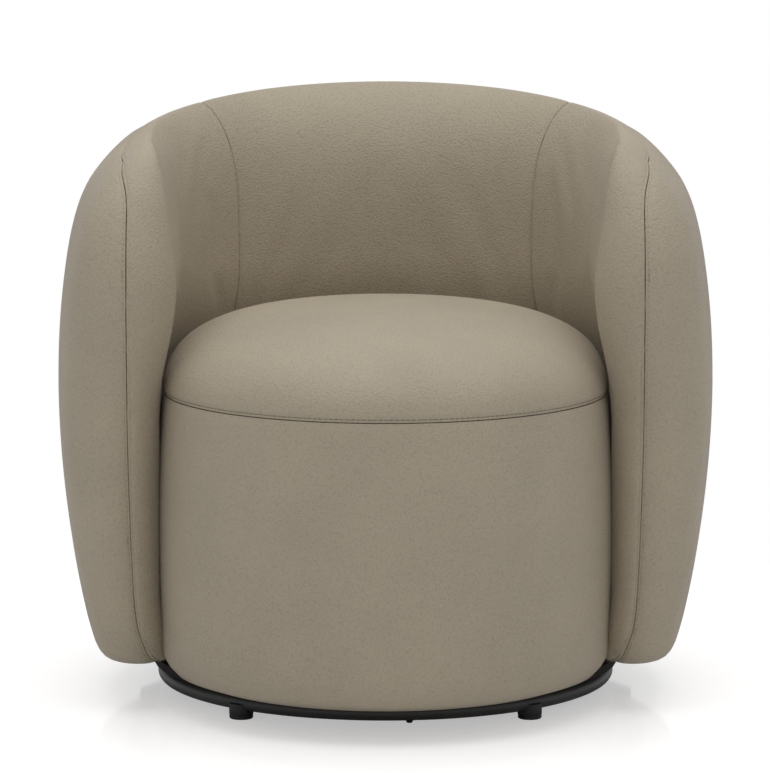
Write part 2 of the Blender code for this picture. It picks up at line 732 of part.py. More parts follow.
def build_shell_frame(chair):
    """Rails, posts and ribs of the shell, with a thin board on each side of them."""
    post_turn = FRAME_END_TURN - FRAME_POST / 2 / SHELL_FRONT_REACH

    def bottom(turn):
        return FRAME_BOTTOM

    def lower_rail_top(turn):
        return FRAME_BOTTOM + FRAME_RAIL

    def upper_rail_bottom(turn):
        return frame_top(turn) - FRAME_RAIL

    half = FRAME_HALF
    wall_band("shell_bottom_rail", half, -half, bottom, lower_rail_top,
              plywood("shell_bottom_rail"), chair)
    wall_band("shell_top_rail", half, -half, upper_rail_bottom, frame_top,
              plywood("shell_top_rail"), chair)
    face_in, face_out = half + FIT_GAP, half + FIT_GAP + BOARD
    wall_band("outer_board", face_out, face_in, bottom, frame_top, plywood("outer_board"), chair)
    wall_band("inner_board", -face_in, -face_out, lambda turn: INNER_BOARD_BOTTOM, frame_top,
              plywood("inner_board"), chair)
    for label, side in (("left", -1.0), ("right", 1.0)):
        upright(f"arm_post_{label}", side, post_turn, half - BOARD, -half + BOARD, FRAME_POST,
                lower_rail_top(0.0) + FIT_GAP, upper_rail_bottom(post_turn) - FIT_GAP,
                plywood(f"arm_post_{label}"), chair)
    for label, turn in (("left", -RIB_TURN), ("centre", 0.0), ("right", RIB_TURN)):
        low_side = abs(turn) + FRAME_POST / SHELL_WALL_MID
        upright(f"back_rib_{label}", math.copysign(1.0, turn), abs(turn), half - BOARD, -half + BOARD,
                FRAME_POST, lower_rail_top(0.0) + FIT_GAP, upper_rail_bottom(low_side) - FIT_GAP,
                plywood(f"back_rib_{label}"), chair)


# Seat drum

def drum_outline(radius, steps_front=None, steps_rear=None):
    """Plan of the drum: two half circles joined by short straight sides, front centre first."""
    steps_front = steps_front or DRUM_FRONT_STEPS
    steps_rear = steps_rear or DRUM_REAR_STEPS
    outline = []
    for step in range(steps_front + 1):
        turn = math.pi * step / steps_front - math.pi / 2
        across, ahead = on_circle(radius, turn)
        outline.append(Vector((across, DRUM_FRONT_CENTRE_Y + ahead, 0.0)))
    for step in range(steps_rear + 1):
        turn = math.pi / 2 + math.pi * step / steps_rear
        across, ahead = on_circle(radius, turn)
        outline.append(Vector((across, DRUM_REAR_CENTRE_Y + ahead, 0.0)))
    return outline


def at_height(outline, height):
    """An outline lifted to a height."""
    return [Vector((point.x, point.y, height)) for point in outline]


def drum_radius_at(height):
    """Radius of the drum's side at a height: fullest in the middle, drawn in at both edges."""
    if height >= DRUM_WIDEST_HEIGHT:
        share = (height - DRUM_WIDEST_HEIGHT) / (SEAT_SEAM - DRUM_WIDEST_HEIGHT)
        return DRUM_RADIUS + (DRUM_SEAM_RADIUS - DRUM_RADIUS) * share ** 2
    share = (DRUM_WIDEST_HEIGHT - height) / (DRUM_WIDEST_HEIGHT - DRUM_BOTTOM)
    return DRUM_RADIUS + (DRUM_FOOT_RADIUS - DRUM_RADIUS) * share ** 2


def drum_side_profile():
    """(radius, height) points up the drum's side from the tacked-under edge to the seat seam."""
    profile = [(DRUM_UNDER_RADIUS, DRUM_BOTTOM)]
    corner_height = DRUM_BOTTOM + DRUM_EDGE_RADIUS
    corner_radius = drum_radius_at(corner_height) - DRUM_EDGE_RADIUS
    for step in range(DRUM_CORNER_STEPS + 1):
        angle = math.pi / 2 * step / DRUM_CORNER_STEPS
        profile.append((corner_radius + DRUM_EDGE_RADIUS * math.sin(angle),
                        corner_height - DRUM_EDGE_RADIUS * math.cos(angle)))
    for step in range(1, DRUM_SIDE_STEPS + 1):
        height = corner_height + (UPPER_HOOP_TOP - corner_height) * step / DRUM_SIDE_STEPS
        profile.append((drum_radius_at(height), height))
    profile.append((DRUM_SEAM_RADIUS, SEAT_SEAM))
    return profile


def inset_profile(profile, inset):
    """A profile moved inward by the inset along its normals."""
    moved = []
    for index, (radius, height) in enumerate(profile):
        before = Vector(profile[max(index - 1, 0)])
        after = Vector(profile[min(index + 1, len(profile) - 1)])
        along = (after - before).normalized()
        moved.append((radius - along.y * inset, height + along.x * inset))
    return moved


def crown_height(share):
    """Height of the seat over a share of the way out from its centre to its seam."""
    return SEAT_SEAM + SEAT_CROWN * (1.0 - share ** CROWN_POWER) ** (1.0 / CROWN_ROUND)


def crown_ring(share, inset):
    """One ring of the seat's crowned top."""
    middle = Vector((0.0, (DRUM_FRONT_CENTRE_Y + DRUM_REAR_CENTRE_Y) / 2, 0.0))
    step = 0.004
    rise = crown_height(min(share + step, 1.0)) - crown_height(max(share - step, 0.0))
    run = (min(share + step, 1.0) - max(share - step, 0.0)) * DRUM_SEAM_RADIUS
    normal = Vector((-rise, run)).normalized()
    outline = drum_outline(DRUM_SEAM_RADIUS)
    reach = DRUM_SEAM_RADIUS + (DRUM_REAR_CENTRE_Y - DRUM_FRONT_CENTRE_Y) / 2
    ring = []
    for point in outline:
        spot = middle + (point - middle) * (share - normal.x * inset / reach)
        ring.append(Vector((spot.x, spot.y, crown_height(share) - normal.y * inset)))
    return ring


def build_drum_upholstery(chair):
    """Drum cover, seat cover, and the foam under each."""
    profile = drum_side_profile()
    profile[-1] = (profile[-1][0], profile[-1][1] - SEAM_GAP / 2)
    rings = [at_height(drum_outline(radius), height) for radius, height in profile]
    mesh = skin("drum_cover", [ring + ring[:1] for ring in rings])
    face_sheet_outward(mesh, lambda spot: Vector((0.0, DRUM_FRONT_CENTRE_Y, SEAT_SEAM / 2)))
    cover("drum_cover", mesh, chair)

    rings = [crown_ring(share, 0.0) for share in CROWN_SHARES]
    lift = Vector((0.0, 0.0, SEAM_GAP / 2))
    rings[0] = [point + lift for point in rings[0]]
    rings.append([crown_ring(0.0, 0.0)[0]] * len(rings[0]))
    mesh = skin("seat_cover", [ring + ring[:1] for ring in rings])
    face_sheet_outward(mesh, lambda spot: Vector((0.0, DRUM_FRONT_CENTRE_Y, SEAT_SEAM / 2)))
    cover("seat_cover", mesh, chair)

    inner = inset_profile(profile, PADDING_INSET)
    side = [pair for pair in inner[:-2] if pair[0] > HOOP_RADIUS + COVER]
    side.append((drum_radius_at(UPPER_HOOP_TOP) - PADDING_INSET, UPPER_HOOP_TOP))
    section = side + [(HOOP_RADIUS + FIT_GAP, UPPER_HOOP_TOP), (HOOP_RADIUS + FIT_GAP, side[0][1])]
    rings = [at_height(drum_outline(radius), height) for radius, height in section]
    points, faces = loft(rings + rings[:1], close_ends=False)
    add_object("drum_padding", mesh_from("drum_padding", points, faces), foam("drum_padding"), chair)

    foam_bottom = UPPER_HOOP_TOP + 2 * WEBBING + 3 * FIT_GAP
    rings = [at_height(drum_outline(drum_radius_at(foam_bottom) - PADDING_INSET), foam_bottom)]
    rings += [crown_ring(share, PADDING_INSET) for share in CROWN_SHARES]
    points, faces = loft(rings)
    add_object("seat_foam", mesh_from("seat_foam", points, faces), foam("seat_foam"), chair)


def hoop(name, bottom, chair):
    """A flat plywood hoop in the drum's plan."""
    outer = drum_outline(HOOP_RADIUS)
    inner = drum_outline(HOOP_RADIUS - HOOP_WIDTH)
    rings = [at_height(outer, bottom), at_height(outer, bottom + HOOP_THICKNESS),
             at_height(inner, bottom + HOOP_THICKNESS), at_height(inner, bottom)]
    points, faces = loft(rings + rings[:1], close_ends=False)
    return add_object(name, mesh_from(name, points, faces), plywood(name), chair)


def box_mesh(name, low, high):
    """A box between two opposite corners."""
    shape = bmesh.new()
    bmesh.ops.create_cube(shape, size=1.0)
    size = Vector(high) - Vector(low)
    middle = (Vector(high) + Vector(low)) / 2
    bmesh.ops.scale(shape, verts=shape.verts, vec=size)
    bmesh.ops.translate(shape, verts=shape.verts, vec=middle)
    mesh = bpy.data.meshes.new(name)
    shape.to_mesh(mesh)
    shape.free()
    return mesh


def build_drum_frame(chair):
    """Two hoops, the posts between them and the webbing over the upper one."""
    lower = DRUM_BOTTOM + COVER + FIT_GAP
    upper = UPPER_HOOP_TOP - HOOP_THICKNESS
    hoop("drum_lower_hoop", lower, chair)
    hoop("drum_upper_hoop", upper, chair)
    ring = HOOP_RADIUS - HOOP_WIDTH / 2
    for label, turn in four_turns(2 * math.pi / DRUM_POSTS / 2).items():
        across, ahead = on_circle(ring, turn)
        centre_y = DRUM_FRONT_CENTRE_Y if ahead < 0 else DRUM_REAR_CENTRE_Y
        name = f"drum_post_{label}"
        half = DRUM_POST / 2
        mesh = box_mesh(name, (-half, -half, lower + HOOP_THICKNESS + FIT_GAP), (half, half, upper - FIT_GAP))
        item = add_object(name, mesh, plywood(name), chair)
        item.location = (across, centre_y + ahead, 0.0)
        item.rotation_euler.z = turn

    base = UPPER_HOOP_TOP + FIT_GAP
    middle = (DRUM_FRONT_CENTRE_Y + DRUM_REAR_CENTRE_Y) / 2
    reach = HOOP_RADIUS - WEBBING_END_INSET
    for index in range(-WEBBING_SIDE_COUNT, WEBBING_SIDE_COUNT + 1):
        place = index * WEBBING_PITCH
        half = WEBBING_WIDTH / 2
        span = math.sqrt(reach ** 2 - (abs(place) + half) ** 2)
        name = f"webbing_lengthwise_{index + WEBBING_SIDE_COUNT + 1}"
        mesh = box_mesh(name, (place - half, DRUM_FRONT_CENTRE_Y - span, base),
                        (place + half, DRUM_REAR_CENTRE_Y + span, base + WEBBING))
        add_object(name, mesh, material(name, (0.25, 0.23, 0.2), 0.9), chair)
        edge = abs(place) + half - (DRUM_REAR_CENTRE_Y - DRUM_FRONT_CENTRE_Y) / 2
        span = math.sqrt(reach ** 2 - max(edge, 0.0) ** 2)
        name = f"webbing_crosswise_{index + WEBBING_SIDE_COUNT + 1}"
        mesh = box_mesh(name, (-span, middle + place - half, base + WEBBING + FIT_GAP),
                        (span, middle + place + half, base + 2 * WEBBING + FIT_GAP))
        add_object(name, mesh, material(name, (0.25, 0.23, 0.2), 0.9), chair)


# Plinth and swivel

def build_plinth(chair):
    """The black board that everything stands on, with a lug under each block of the shell."""
    name = "plinth_board"
    points, faces = turned_solid(disc_profile(PLINTH_RADIUS, PLINTH_BOTTOM, PLINTH_TOP), RING_STEPS)
    board = add_object(name, mesh_from(name, points, faces),
                       material(name, (0.006, 0.006, 0.006), 0.8), chair)
    for label, side, turn in block_places():
        spot, outward = wall_line(side, turn)
        along = Vector((-outward.y, outward.x, 0.0)) * BLOCK_LENGTH / 2
        end = spot - outward * (BLOCK_SHIFT - BLOCK_WIDTH / 2)
        ring = []
        for height in (PLINTH_BOTTOM, PLINTH_TOP):
            lift = Vector((0.0, 0.0, height))
            start = end - outward * (BLOCK_LENGTH * 2)
            ring.append([start - along + lift, start + along + lift, end + along + lift, end - along + lift])
        points, faces = loft(ring)
        lug = bpy.data.objects.new(f"lug_{label}", mesh_from(f"lug_{label}", points, faces))
        bpy.context.scene.collection.objects.link(lug)
        boolean(board, lug, "UNION")
    for label, turn in four_turns(BOLT_TURN).items():
        place = on_circle(BOLT_CIRCLE_RADIUS, turn)
        hole = cutter_at(f"plinth_hole_{label}", place, BOLT_SHANK_RADIUS + BOLT_HOLE_CLEARANCE,
                         PLINTH_BOTTOM - CUT_OVERRUN, PLINTH_TOP + CUT_OVERRUN)
        boolean(board, hole, "DIFFERENCE")
    for label, side, turn in block_places():
        name = f"shell_block_{label}"
        upright(name, side, turn, -BLOCK_SHIFT + BLOCK_WIDTH / 2, -BLOCK_SHIFT - BLOCK_WIDTH / 2,
                BLOCK_LENGTH, PLINTH_TOP + FIT_GAP, FRAME_BOTTOM - FIT_GAP, plywood(name), chair)


def block_places():
    """Where the shell's blocks stand: behind, and on both sides behind the middle."""
    return (("rear", 1.0, 0.0), ("left", -1.0, BLOCK_TURN), ("right", 1.0, BLOCK_TURN))


def race_plate(name, flat, ridge, parent, bottom, top):
    """A square plate with a pressed race ring: flat is its bearing face, ridge the ring's face."""
    half = PLATE_SIDE / 2
    item = add_object(name, box_mesh(name, (-half, -half, bottom), (half, half, top)),
                      bright_steel(name), parent)
    bevel_upright_edges(item, PLATE_CORNER)
    hole = cutter_at(f"{name}_centre_hole", (0.0, 0.0), PLATE_HOLE_RADIUS, bottom - CUT_OVERRUN,
                     top + CUT_OVERRUN, RACE_STEPS)
    boolean(item, hole, "DIFFERENCE")
    inward = math.copysign(PLATE / 2, flat - ridge)
    section = [(RACE_RADIUS - RACE_HALF_WIDTH, flat + inward), (RACE_RADIUS - RACE_HALF_WIDTH, ridge)]
    groove = BALL_RADIUS + BALL_CLEARANCE
    depth = abs(BALL_HEIGHT - ridge)
    reach = math.acos(depth / groove)
    direction = math.copysign(1.0, ridge - BALL_HEIGHT)
    for step in range(GROOVE_STEPS + 1):
        angle = -reach + 2 * reach * step / GROOVE_STEPS
        section.append((RACE_RADIUS + groove * math.sin(angle),
                        BALL_HEIGHT + direction * groove * math.cos(angle)))
    section += [(RACE_RADIUS + RACE_HALF_WIDTH, ridge), (RACE_RADIUS + RACE_HALF_WIDTH, flat + inward)]
    points, faces = revolve(section, RACE_STEPS)
    ring = bpy.data.objects.new(f"{name}_race", mesh_from(f"{name}_race", points, faces))
    bpy.context.scene.collection.objects.link(ring)
    boolean(item, ring, "UNION")
    for label, turn in four_turns(BOLT_TURN).items():
        place = on_circle(BOLT_CIRCLE_RADIUS, turn)
        hole = cutter_at(f"{name}_hole_{label}", place, BOLT_SHANK_RADIUS + BOLT_HOLE_CLEARANCE,
                         bottom - CUT_OVERRUN, top + CUT_OVERRUN)
        boolean(item, hole, "DIFFERENCE")
    return item


def bevel_upright_edges(item, radius):
    """Round the four upright edges of a square plate."""
    shape = bmesh.new()
    shape.from_mesh(item.data)
    upright_edges = [edge for edge in shape.edges
                     if abs(edge.verts[0].co.z - edge.verts[1].co.z) > PLATE / 2]
    bmesh.ops.bevel(shape, geom=upright_edges, offset=radius, segments=PLATE_CORNER_STEPS,
                    profile=0.5, affect="EDGES")
    shape.to_mesh(item.data)
    shape.free()


def bolt(name, turn, head_bottom, head_top, shank_end, finish, parent):
    """A low round-headed bolt; the shank runs from the head's far face to shank_end."""
    upward = shank_end > head_top
    if upward:
        profile = [(0.0, head_bottom), (BOLT_HEAD_RADIUS * BOLT_CROWN_SHARE, head_bottom),
                   (BOLT_HEAD_RADIUS, head_top), (BOLT_SHANK_RADIUS, head_top),
                   (BOLT_SHANK_RADIUS, shank_end), (0.0, shank_end)]
    else:
        profile = [(0.0, shank_end), (BOLT_SHANK_RADIUS, shank_end), (BOLT_SHANK_RADIUS, head_bottom),
                   (BOLT_HEAD_RADIUS, head_bottom), (BOLT_HEAD_RADIUS * BOLT_CROWN_SHARE, head_top),
                   (0.0, head_top)]
    points, faces = turned_solid(profile, BOLT_SIDES)
    item = add_object(name, mesh_from(name, points, faces), finish, parent)
    across, ahead = on_circle(BOLT_CIRCLE_RADIUS, turn)
    item.location = (across, ahead, 0.0)
    return item


def build_swivel(base, cage_axis, chair):
    """The ball-bearing swivel: two race plates, the balls in their cage, and the bolts."""
    race_plate("lower_bearing_plate", LOWER_PLATE_TOP, LOWER_PLATE_TOP + RACE_HEIGHT, base,
               BEARING_BOTTOM, LOWER_PLATE_TOP)
    race_plate("upper_bearing_plate", UPPER_PLATE_BOTTOM, UPPER_PLATE_BOTTOM - RACE_HEIGHT, chair,
               UPPER_PLATE_BOTTOM, UPPER_PLATE_BOTTOM + PLATE)
    for label, turn in four_turns(BOLT_TURN).items():
        head = LOWER_PLATE_TOP + FIT_GAP
        name = f"lower_plate_bolt_{label}"
        bolt(name, turn, head, head + BOLT_HEAD, BAR_BOTTOM, bright_steel(name), base)
        head = UPPER_PLATE_BOTTOM - FIT_GAP
        name = f"upper_plate_bolt_{label}"
        bolt(name, turn, head - BOLT_HEAD, head, PLINTH_TOP - FIT_GAP, bright_steel(name), chair)

    section = [(RACE_RADIUS - CAGE_HALF_WIDTH, BALL_HEIGHT - CAGE / 2),
               (RACE_RADIUS + CAGE_HALF_WIDTH, BALL_HEIGHT - CAGE / 2),
               (RACE_RADIUS + CAGE_HALF_WIDTH, BALL_HEIGHT + CAGE / 2),
               (RACE_RADIUS - CAGE_HALF_WIDTH, BALL_HEIGHT + CAGE / 2)]
    points, faces = revolve(section, BALLS * 2)
    cage = add_object("ball_cage", mesh_from("ball_cage", points, faces), bright_steel("ball_cage"),
                      cage_axis)
    shape = bmesh.new()
    for index in range(BALLS):
        across, ahead = on_circle(RACE_RADIUS, 2 * math.pi * index / BALLS)
        place = Matrix.Translation((across, ahead, BALL_HEIGHT))
        bmesh.ops.create_icosphere(shape, subdivisions=2, radius=BALL_RADIUS, matrix=place)
    mesh = bpy.data.meshes.new("balls")
    shape.to_mesh(mesh)
    shape.free()
    balls = bpy.data.objects.new("balls", mesh)
    bpy.context.scene.collection.objects.link(balls)
    boolean(cage, balls, "UNION")


# Base

def build_base(base):
    """The ring of tube, the crossed bars inside it, the glides and the ring's screw."""
    rings = []
    for step in range(RING_STEPS):
        angle = 2 * math.pi * step / RING_STEPS
        section = []
        for side in range(TUBE_SIDES):
            swing = 2 * math.pi * (side + 0.5) / TUBE_SIDES
            radius = RING_RADIUS + TUBE_CORNER_RADIUS * math.cos(swing)
            section.append(Vector((radius * math.cos(angle), radius * math.sin(angle),
                                   RING_HEIGHT + TUBE_CORNER_RADIUS * math.sin(swing))))
        rings.append(section)
    points, faces = loft(rings + rings[:1], close_ends=False)
    ring = add_object("base_ring", mesh_from("base_ring", points, faces), black_steel("base_ring"),
                      base, math.radians(60))

    low = RING_HEIGHT - TUBE_RADIUS
    for label, turn in four_turns(FOOT_TURN).items():
        place = on_circle(RING_RADIUS, turn)
        hole = cutter_at(f"foot_hole_{label}", place, FOOT_STEM_RADIUS + FOOT_STEM_CLEARANCE,
                         low - CUT_OVERRUN, FOOT_HEIGHT + FOOT_STEM + FIT_GAP)
        boolean(ring, hole, "DIFFERENCE")
        name = f"foot_glide_{label}"
        top = FOOT_HEIGHT - FIT_GAP
        profile = [(0.0, 0.0), (FOOT_RADIUS - FOOT_EDGE, 0.0), (FOOT_RADIUS, FOOT_EDGE),
                   (FOOT_RADIUS, top - FOOT_EDGE), (FOOT_RADIUS - FOOT_EDGE, top),
                   (FOOT_STEM_RADIUS, top), (FOOT_STEM_RADIUS, FOOT_HEIGHT + FOOT_STEM),
                   (0.0, FOOT_HEIGHT + FOOT_STEM)]
        points, faces = turned_solid(profile, FOOT_SIDES)
        glide = add_object(name, mesh_from(name, points, faces), material(name, (0.02, 0.02, 0.02), 0.5),
                           base)
        glide.location = (place[0], place[1], 0.0)

    place = on_circle(RING_RADIUS, RING_SCREW_TURN)
    head = low
    hole = cutter_at("ring_screw_hole", place, RING_SCREW_SHANK_RADIUS + FIT_GAP, low - CUT_OVERRUN,
                     head + RING_SCREW_LENGTH + FIT_GAP)
    boolean(ring, hole, "DIFFERENCE")
    profile = [(0.0, head - RING_SCREW_HEAD), (RING_SCREW_HEAD_RADIUS * BOLT_CROWN_SHARE, head - RING_SCREW_HEAD),
               (RING_SCREW_HEAD_RADIUS, head - FIT_GAP), (RING_SCREW_SHANK_RADIUS, head - FIT_GAP),
               (RING_SCREW_SHANK_RADIUS, head + RING_SCREW_LENGTH), (0.0, head + RING_SCREW_LENGTH)]
    points, faces = turned_solid(profile, BOLT_SIDES)
    screw = add_object("ring_joint_screw", mesh_from("ring_joint_screw", points, faces),
                       black_steel("ring_joint_screw"), base)
    screw.location = (place[0], place[1], 0.0)

    half = BAR_WIDTH / 2
    flat = (RING_RADIUS - TUBE_RADIUS) * math.cos(math.pi / RING_STEPS) - FIT_GAP
    reach = math.sqrt(flat ** 2 - half ** 2)
    top = BAR_BOTTOM + BAR
    bars = []
    for name, turn in (("base_cross", FOOT_TURN), ("second_bar", -FOOT_TURN)):
        mesh = box_mesh(name, (-half, -reach, BAR_BOTTOM), (half, reach, top))
        mesh.transform(Matrix.Rotation(turn, 4, "Z"))
        bars.append(mesh)
    cross = add_object("base_cross", bars[0], black_steel("base_cross"), base)
    second = bpy.data.objects.new("second_bar", bars[1])
    bpy.context.scene.collection.objects.link(second)
    boolean(cross, second, "UNION")
    for label, turn in four_turns(BOLT_TURN).items():
        place = on_circle(BOLT_CIRCLE_RADIUS, turn)
        hole = cutter_at(f"bar_hole_{label}", place, BOLT_SHANK_RADIUS + BOLT_HOLE_CLEARANCE,
                         BAR_BOTTOM - CUT_OVERRUN, top + CUT_OVERRUN)
        boolean(cross, hole, "DIFFERENCE")


def main():
    """Build the whole chair."""
    clear_scene()
    base = empty("base")
    cage_axis = empty("cage_axis", base)
    chair = empty("chair", base)
    build_base(base)
    build_swivel(base, cage_axis, chair)
    build_plinth(chair)
    build_drum_frame(chair)
    build_drum_upholstery(chair)
    build_shell_frame(chair)
    build_shell_padding(chair)
    build_shell_covers(chair)


main()
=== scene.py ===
"""Looks of a swivel accent chair: a tub shell round a drum seat, in matte taupe leather, on a black ring.

Metres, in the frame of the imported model: +Z up, the origin on the floor on the swivel axis, and the
chair faces -Y. The upholstery is cut as the real one is: four panels on the shell, one round the drum
and one over the seat, each with turned edges, seams and thread.
"""
import json
import logging
import math
from dataclasses import dataclass, field
from enum import Enum
from typing import Callable, Sequence

import bmesh
import bpy
import numpy as np
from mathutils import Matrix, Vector
from mathutils.kdtree import KDTree

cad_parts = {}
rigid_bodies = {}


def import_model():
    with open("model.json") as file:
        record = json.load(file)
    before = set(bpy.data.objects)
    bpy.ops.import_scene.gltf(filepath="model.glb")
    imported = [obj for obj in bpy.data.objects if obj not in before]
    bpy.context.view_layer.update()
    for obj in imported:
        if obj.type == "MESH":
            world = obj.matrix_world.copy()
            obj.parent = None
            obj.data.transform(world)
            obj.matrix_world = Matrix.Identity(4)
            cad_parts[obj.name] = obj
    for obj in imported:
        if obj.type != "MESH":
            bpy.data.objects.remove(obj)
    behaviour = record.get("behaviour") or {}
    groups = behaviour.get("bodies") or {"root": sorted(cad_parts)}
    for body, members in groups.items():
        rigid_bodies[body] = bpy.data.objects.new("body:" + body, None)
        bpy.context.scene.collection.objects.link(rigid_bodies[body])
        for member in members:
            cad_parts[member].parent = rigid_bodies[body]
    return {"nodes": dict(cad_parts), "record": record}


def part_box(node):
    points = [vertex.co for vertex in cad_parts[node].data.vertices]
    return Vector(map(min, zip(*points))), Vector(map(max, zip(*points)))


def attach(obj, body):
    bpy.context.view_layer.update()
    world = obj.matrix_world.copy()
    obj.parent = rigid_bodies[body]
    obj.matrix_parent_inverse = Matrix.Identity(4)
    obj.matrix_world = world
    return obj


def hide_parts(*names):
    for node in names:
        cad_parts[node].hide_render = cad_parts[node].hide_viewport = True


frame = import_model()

LOG = logging.getLogger("accent_chair")
QUARTER = math.pi / 2
SOFT_EDGE = math.radians(50)
CRISP_EDGE = math.radians(35)
WELD = 0.00002
TUCK_ROWS = 4
SHELL_TRIM = 0.0049
DRUM_TRIM = 0.0013
SEAM_LIFT = 0.0055

LEATHER_SLOT = "upholstery_leather"
WEBBING_SLOT = "webbing"
WHITE = (1.0, 1.0, 1.0, 1.0)
Colour = tuple[float, float, float]
Place = Callable[[np.ndarray, np.ndarray], np.ndarray]


class Body(Enum):
    """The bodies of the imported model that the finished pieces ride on."""

    BASE = "base"
    CHAIR = "chair"


# Scene helpers

def make_active(item: bpy.types.Object) -> None:
    """Select one object alone and make it active, because an operator acts on all that is selected.

    Args:
        item: The object.
    """
    for other in bpy.context.view_layer.objects:
        other.select_set(False)
    item.select_set(True)
    bpy.context.view_layer.objects.active = item


def copy_of(source: bpy.types.Object, name: str) -> bpy.types.Object:
    """Copy an object with a mesh of its own.

    Args:
        source: The object, which is left as it is.
        name: The copy's name.

    Returns:
        The copy, linked to the scene.
    """
    item = source.copy()
    item.data = source.data.copy()
    item.name = item.data.name = name
    bpy.context.scene.collection.objects.link(item)
    return item


def edit_whole(item: bpy.types.Object, *steps: Callable[[], object]) -> None:
    """Run edit-mode operators on the whole mesh of an object.

    Args:
        item: The mesh object.
        steps: The operators' calls, in order.
    """
    make_active(item)
    bpy.ops.object.mode_set(mode="EDIT")
    bpy.ops.mesh.select_all(action="SELECT")
    for step in steps:
        step()
    bpy.ops.object.mode_set(mode="OBJECT")


def weld() -> None:
    """Merge the points of a mesh in edit mode that lie on one another."""
    bpy.ops.mesh.remove_doubles(threshold=WELD)


def apply_modifiers(item: bpy.types.Object) -> None:
    """Apply every modifier of an object in order.

    Args:
        item: The object.
    """
    make_active(item)
    for change in list(item.modifiers):
        bpy.ops.object.modifier_apply(modifier=change.name)


def smooth_shading(item: bpy.types.Object, angle: float) -> None:
    """Shade an object smooth except at edges sharper than an angle."""
    make_active(item)
    bpy.ops.object.shade_smooth_by_angle(angle=angle)


def points_of(item: bpy.types.Object) -> np.ndarray:
    """Read the vertex places of an object's mesh.

    Args:
        item: The mesh object.

    Returns:
        One row for each vertex.
    """
    places = np.empty(len(item.data.vertices) * 3)
    item.data.vertices.foreach_get("co", places)
    return places.reshape(-1, 3)


def set_points(item: bpy.types.Object, places: np.ndarray) -> None:
    """Write vertex places back to an object's mesh."""
    item.data.vertices.foreach_set("co", np.asarray(places, dtype=float).ravel())
    item.data.update()


def dress(item: bpy.types.Object, material: bpy.types.Material) -> None:
    """Give an object one material in place of any that it has."""
    item.data.materials.clear()
    item.data.materials.append(material)


def hand_over(item: bpy.types.Object, body: Body, slot: str, *nodes: str) -> None:
    """Ride a finished piece on its body, hide the CAD nodes that it replaces and log its size.

    Args:
        item: The finished piece, with its place in its mesh.
        body: The body that it moves with.
        slot: The record's material slot; not used.
        nodes: The CAD nodes that it replaces.
    """
    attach(item, body.value)
    if nodes:
        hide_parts(*nodes)
    LOG.info("%s: %d faces, on %s", item.name, len(item.data.polygons), body.value)


def complete(item: bpy.types.Object, angle: float, material: bpy.types.Material, body: Body, slot: str,
             *nodes: str) -> bpy.types.Object:
    """Shade, dress and hand over a finished piece.

    Args:
        item: The piece.
        angle: Angle above which its edges stay crisp.
        material: Its material.
        body: The body that it moves with.
        slot: The record's material slot.
        nodes: The CAD nodes that it replaces.

    Returns:
        The piece.
    """
    smooth_shading(item, angle)
    dress(item, material)
    hand_over(item, body, slot, *nodes)
    return item


# Materials

